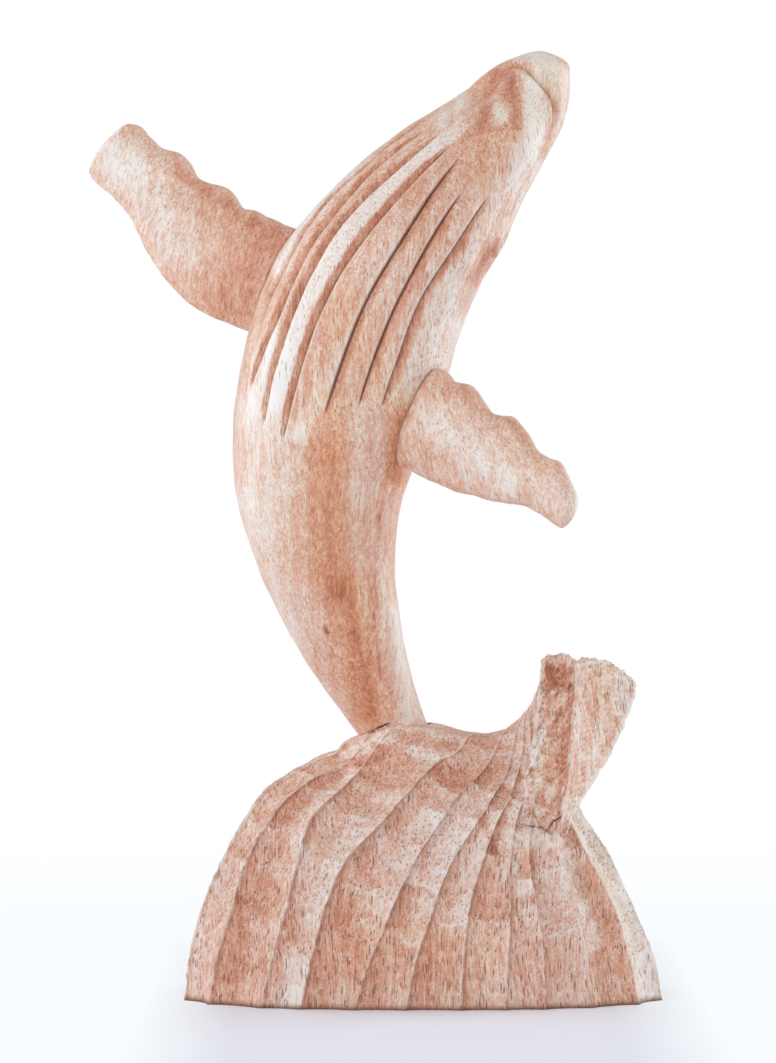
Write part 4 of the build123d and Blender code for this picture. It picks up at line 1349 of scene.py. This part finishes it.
def make_wood(name, colours, tone, pores, pore_size, spots, rough, relief, roughness,
              offset=(0, 0, 0), turn=(0, 0, 0)):
    """Wood whose grain stands along Z: rings, streaks, fibres and the dark dashes of its open pores."""
    material, tree, shader = new_material(name)
    place = add_node(tree, "ShaderNodeTexCoord").outputs["Object"]
    place = mapped(tree, place, Location=offset, Rotation=turn)
    drift = add_node(tree, "ShaderNodeTexNoise", {"Vector": place, "Scale": 1 / (38 * mm), "Detail": 1.0})
    sway = vector_math(tree, "SUBTRACT", {0: drift.outputs["Color"], 1: (0.5, 0.5, 0.5)})
    sway = vector_math(tree, "SCALE", {0: sway, "Scale": 9 * mm})
    place = vector_math(tree, "ADD", {0: place, 1: sway})

    bands = noise(tree, place, 15 * mm, 2.0, (1, 1, 0.13))
    streaks = noise(tree, place, 1.5 * mm, 2.0, (1, 1, 0.04))
    fibres = noise(tree, place, 0.55 * mm, 3.0, (1, 1, 0.07))
    grit = noise(tree, place, 0.45 * mm, 2.0, (1, 1, 0.6))
    mottle = noise(tree, place, 1.1 * mm, 2.0, (1, 1, 0.45))
    heart = mapped(tree, place, Location=(-35 * mm, -95 * mm, 0))
    ring_sizes = {"Scale": 0.30 / (5.5 * mm), "Distortion": 1.2, "Detail": 2.0, "Detail Scale": 0.6}
    rings = add_node(
        tree, "ShaderNodeTexWave", {"Vector": heart, **ring_sizes}, wave_type="RINGS", rings_direction="Z"
    ).outputs["Fac"]

    level = math(tree, "MULTIPLY_ADD", marked(tree, "tone"), 0.30, tone)
    for pattern, low, high, weight in (
        (bands, 0.3, 0.7, 0.03),
        (streaks, 0.3, 0.7, 0.06 * rough + 0.04 * relief),
        (fibres, 0.3, 0.7, 0.14 * rough),
        (grit, 0.3, 0.7, 0.13 * rough),
        (mottle, 0.3, 0.7, 0.13 * (1 - relief)),
        (rings, 0.0, 1.0, 0.035),
    ):
        level = math(tree, "MULTIPLY_ADD", between(tree, pattern, low, high, -1, 1), weight, level)
    ramp = add_node(tree, "ShaderNodeValToRGB", {"Fac": level})
    stops = ramp.color_ramp.elements
    while len(stops) < len(colours):
        stops.new(0.5)
    for stop, (position, colour) in zip(stops, colours):
        stop.position, stop.color = position, colour

    long_pores = scattered(tree, place, pore_size, 0.10, spots)
    round_pores = scattered(tree, place, 1.25 * pore_size, 0.55, spots)
    dots = marked(tree, "dots")
    pore = math(tree, "MULTIPLY", long_pores, math(tree, "SUBTRACT", 1.0, dots))
    pore = math(tree, "MULTIPLY_ADD", round_pores, math(tree, "MULTIPLY", dots, 0.75), pore)
    pore = math(tree, "MULTIPLY", pore, math(tree, "SUBTRACT", 1.0, marked(tree, "filled")))
    warm = mixed(tree, 1.0, ramp.outputs[0], warm_tint, "MULTIPLY")
    colour = mixed(tree, between(tree, marked(tree, "warm"), 0.0, 1.0), ramp.outputs[0], warm)
    colour = mixed(tree, math(tree, "MULTIPLY", pore, pores), colour, pore_colour)
    # Painted highlights on ridges and rims, and pale torn fibres
    colour = mixed(tree, math(tree, "MULTIPLY", marked(tree, "edge"), 0.6), colour, highlight_and_fibre_colour)
    # Painted shade in grooves, cracks and slits, and the dark flipper seams
    colour = mixed(tree, between(tree, marked(tree, "hollow"), 0.03, 0.85, 0.0, 0.88), colour, shade_and_seam_colour)
    tree.links.new(colour, shader.inputs["Base Color"])

    height = math(tree, "MULTIPLY_ADD", fibres, 0.6, math(tree, "MULTIPLY", grit, 0.35))
    height = math(tree, "MULTIPLY_ADD", streaks, 0.5, height)
    height = math(tree, "MULTIPLY_ADD", pore, -0.9, height)
    bump = add_node(tree, "ShaderNodeBump", {"Height": height, "Strength": relief, "Distance": 0.35 * mm})
    tree.links.new(bump.outputs[0], shader.inputs["Normal"])
    sheen = between(tree, fibres, 0.3, 0.7, roughness - 0.06, roughness + 0.08)
    tree.links.new(sheen, shader.inputs["Roughness"])
    shader.inputs["IOR"].default_value = 1.48
    return material


# Torn fibres on the carved edges
def make_fibres(wave, material):
    """Short torn fibres on the wave's frayed edges, spread by a node tree and turned into a mesh."""
    place, edge = np.zeros(len(wave.data.vertices) * 3), np.zeros(len(wave.data.vertices))
    wave.data.vertices.foreach_get("co", place)
    wave.data.attributes["edge"].data.foreach_get("value", edge)
    x, y, z = place.reshape(-1, 3).T / mm
    foot = bell(z, 1.0)
    top = ease(z, 101, 105) * (x > 30)
    crack = bell(x - 35, 8) * bell(z - 51, 3.5) * (y < -18)
    set_mark(wave.data, "fray", np.clip(foot + 0.22 * top + 0.6 * crack + 0.06 * edge**2, 0, 1))

    tree = bpy.data.node_groups.new("torn_fibres", "GeometryNodeTree")
    tree.interface.new_socket("Wood", in_out="INPUT", socket_type="NodeSocketGeometry")
    sizes = {"Fibre length": 1.2 * mm, "Fibre radius": 0.07 * mm, "Fibres per square metre": 700000.0}
    sockets = {
        key: tree.interface.new_socket(key, in_out="INPUT", socket_type="NodeSocketFloat") for key in sizes
    }
    tree.interface.new_socket("Fibres", in_out="OUTPUT", socket_type="NodeSocketGeometry")
    given = add_node(tree, "NodeGroupInput").outputs
    mask = add_node(tree, "GeometryNodeInputNamedAttribute", {"Name": "fray"}, data_type="FLOAT").outputs[0]
    density = math(tree, "MULTIPLY", mask, given["Fibres per square metre"])
    inputs = {"Mesh": given["Wood"], "Density": density, "Seed": 7}
    scatter = add_node(
        tree, "GeometryNodeDistributePointsOnFaces", inputs, distribute_method="RANDOM"
    ).outputs
    inputs = {"Vertices": 4, "Radius Bottom": given["Fibre radius"], "Depth": given["Fibre length"]}
    cone = add_node(tree, "GeometryNodeMeshCone", inputs).outputs["Mesh"]
    inputs = {0: (-0.95, -0.95, -0.5), 1: (0.95, 0.95, 0.5), "Seed": 3}
    tilt = add_node(tree, "FunctionNodeRandomValue", inputs, data_type="FLOAT_VECTOR").outputs[0]
    inputs = {0: scatter["Rotation"], 1: tilt}
    turned = add_node(tree, "FunctionNodeRotateRotation", inputs, rotation_space="LOCAL").outputs[0]
    inputs = {2: 0.35, 3: 1.5, "Seed": 5}
    size = add_node(tree, "FunctionNodeRandomValue", inputs, data_type="FLOAT").outputs[1]
    inputs = {"Points": scatter["Points"], "Instance": cone, "Rotation": turned, "Scale": size}
    strewn = add_node(tree, "GeometryNodeInstanceOnPoints", inputs).outputs[0]
    real = add_node(tree, "GeometryNodeRealizeInstances", {0: strewn}).outputs[0]
    inputs = {"Geometry": real, "Material": material}
    finished = add_node(tree, "GeometryNodeSetMaterial", inputs).outputs[0]
    add_node(tree, "NodeGroupOutput", {0: finished})

    holder = add_object("fibre_source", wave.data)
    modifier = holder.modifiers.new("fibres", "NODES")
    modifier.node_group = tree
    for key, socket in sockets.items():
        modifier[socket.identifier] = sizes[key]
    shape = holder.evaluated_get(bpy.context.evaluated_depsgraph_get())
    mesh = bpy.data.meshes.new_from_object(shape)
    bpy.data.objects.remove(holder)
    for vertex in mesh.vertices:
        vertex.co.z = max(vertex.co.z, 0.05 * mm)
    return add_object("torn_fibres", mesh)


# Floor, light and camera
def make_floor():
    """A pale floor that keeps the lit shadow near the whale, on a darker and bluer colour that paints that
    shadow deeper in a band as wide as the base before it, and turns plain white further off.
    """
    half_side = 3.0
    corners = [(x, y, 0.0) for y in (-half_side, half_side) for x in (-half_side, half_side)]
    mesh = bpy.data.meshes.new("floor")
    mesh.from_pydata(corners, [], [(0, 1, 3, 2)])
    material, tree, shader = new_material("floor_paper")
    # A darker, bluer floor colour: painted shadow that deepens the lit shadow before the whale
    shader.inputs["Base Color"].default_value = (0.85, 0.87, 0.955, 1)
    shader.inputs["Roughness"].default_value = 0.6
    place = add_node(tree, "ShaderNodeTexCoord").outputs["Object"]
    split = add_node(tree, "ShaderNodeSeparateXYZ", {0: place}).outputs
    # Only in a band as wide as the base before the whale does the camera see the lit floor, so the band
    # paints the shadow's shape
    aside = between(tree, math(tree, "ABSOLUTE", split["X"]), 58 * mm, 88 * mm)
    behind = between(tree, split["Y"], -20 * mm, 190 * mm)
    ahead = between(tree, split["Y"], -175 * mm, -250 * mm)
    far = math(tree, "MAXIMUM", math(tree, "MAXIMUM", aside, behind), ahead)
    away = add_node(tree, "ShaderNodeVectorMath", {0: place}, operation="LENGTH").outputs["Value"]
    further = between(tree, away, 180 * mm, 620 * mm)
    rays = add_node(tree, "ShaderNodeLightPath").outputs
    direct = math(tree, "MAXIMUM", rays["Is Camera Ray"], rays["Is Glossy Ray"])
    white_share = math(tree, "MULTIPLY", far, direct)
    tint = mixed(tree, further, (0.94, 0.975, 1.0, 1), (1, 1, 1, 1))
    white = add_node(tree, "ShaderNodeEmission", {"Color": tint, "Strength": 1.0}).outputs[0]
    both = add_node(tree, "ShaderNodeMixShader", {0: white_share, 1: shader.outputs[0], 2: white})
    tree.links.new(both.outputs[0], tree.nodes["Material Output"].inputs["Surface"])
    mesh.materials.append(material)
    return add_object("floor", mesh)


def make_world():
    """White air round the whale, which lights it softly and shows as plain white."""
    world = bpy.data.worlds.new("white_room")
    bpy.context.scene.world = world
    world.use_nodes = True
    tree = world.node_tree
    room = tree.nodes["Background"]
    room.inputs["Color"].default_value = (1.0, 1.0, 1.0, 1)
    room.inputs["Strength"].default_value = 0.52
    rays = add_node(tree, "ShaderNodeLightPath").outputs
    direct = math(tree, "MAXIMUM", rays["Is Camera Ray"], rays["Is Transmission Ray"])
    white = add_node(tree, "ShaderNodeBackground", {"Color": (1, 1, 1, 1), "Strength": 1.0}).outputs[0]
    both = add_node(tree, "ShaderNodeMixShader", {0: direct, 1: room.outputs[0], 2: white})
    tree.links.new(both.outputs[0], tree.nodes["World Output"].inputs["Surface"])


def make_lamp(name, place, aim, width, height, power, colour=(1, 1, 1)):
    """A soft rectangular lamp that faces a point."""
    lamp = bpy.data.lights.new(name, "AREA")
    lamp.shape, lamp.size, lamp.size_y, lamp.energy, lamp.color = "RECTANGLE", width, height, power, colour
    holder = add_object(name, lamp)
    holder.location = place
    holder.rotation_euler = (Vector(aim) - Vector(place)).to_track_quat("-Z", "Y").to_euler()


def make_camera():
    """The camera before the whale, a little above its middle and turned down to it."""
    picture_height, per_pixel = 1063, 0.3171 * mm
    aim_height, sensor = 147.4 * mm, 36.0
    camera = bpy.data.cameras.new("camera")
    camera.sensor_width = sensor
    camera.lens = sensor * viewer_distance / (picture_height * per_pixel)
    camera.clip_start, camera.clip_end = 0.05, 20
    holder = add_object("camera", camera)
    holder.location = (viewer_place[0], -viewer_distance, viewer_place[1])
    down = np.arctan((viewer_place[1] - aim_height) / viewer_distance)
    holder.rotation_euler = (np.pi / 2 - down, 0, 0)
    bpy.context.scene.camera = holder


def place_piece(piece, material, slot, *nodes):
    """Gives a piece its material and body, and hides the solid that it stands for."""
    piece.data.materials.clear()
    piece.data.materials.append(material)
    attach(piece, "root")
    if nodes:
        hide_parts(*nodes)


carved = make_wood("carved_wood", carved_colours, 0.676, 0.92, 0.66 * mm, 0.62, 1.0, 0.75, 0.66)
sanded = make_wood(
    "sanded_wood", sanded_colours, 0.575, 0.8, 0.62 * mm, 0.48, 0.85, 0.3, 0.44, offset=(0.2, 0.1, 0.3)
)
left_wood = make_wood(
    "left_flipper_wood", sanded_colours, 0.60, 0.8, 0.62 * mm, 0.48, 0.8, 0.3, 0.44,
    offset=(0.5, 0.2, 0.1), turn=(0, 0.25, 0),
)
right_wood = make_wood(
    "right_flipper_wood", sanded_colours, 0.56, 0.85, 0.64 * mm, 0.52, 0.85, 0.3, 0.44,
    offset=(0.7, 0.4, 0.2), turn=(0, -0.2, 0),
)
pegs = make_wood(
    "peg_wood", sanded_colours, 0.75, 0.2, 0.7 * mm, 0.4, 0.6, 0.2, 0.6, offset=(0.9, 0.6, 0.4)
)

wave = build_wave()
place_piece(wave, carved, "carved_wood", "wave_base")
fibres = make_fibres(wave, carved)
place_piece(fibres, carved, "carved_wood")
place_piece(make_body(), sanded, "sanded_wood", "whale_body")
left = make_flipper(
    "carved_left_flipper", left_flipper_place, left_flipper_reach, left_flipper_length, 1,
    left_flipper_rows,
)
place_piece(left, left_wood, "sanded_wood", "left_flipper")
right = make_flipper(
    "carved_right_flipper", right_flipper_place, right_flipper_reach, right_flipper_length, -1,
    right_flipper_rows,
)
place_piece(right, right_wood, "sanded_wood", "right_flipper")
for name in ("left_flipper_peg", "right_flipper_peg", "tail_dowel"):
    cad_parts[name].data.materials.clear()
    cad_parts[name].data.materials.append(pegs)

make_floor()
make_world()
aim, cool = (0, 0, 0.14), (0.90, 0.96, 1.0)
make_lamp("left_softbox", (-0.95, 0.30, 0.35), aim, 0.7, 1.1, 5.2, cool)
make_lamp("right_softbox", (0.95, 0.35, 0.35), aim, 0.7, 1.1, 7.2, cool)
make_lamp("key", (-0.8, -1.0, 0.75), aim, 0.5, 0.5, 5.2)
make_lamp("front_fill", (0.5, -1.4, 0.5), aim, 1.2, 0.8, 2.8)
make_camera()
bpy.context.scene.view_settings.view_transform = "Standard"
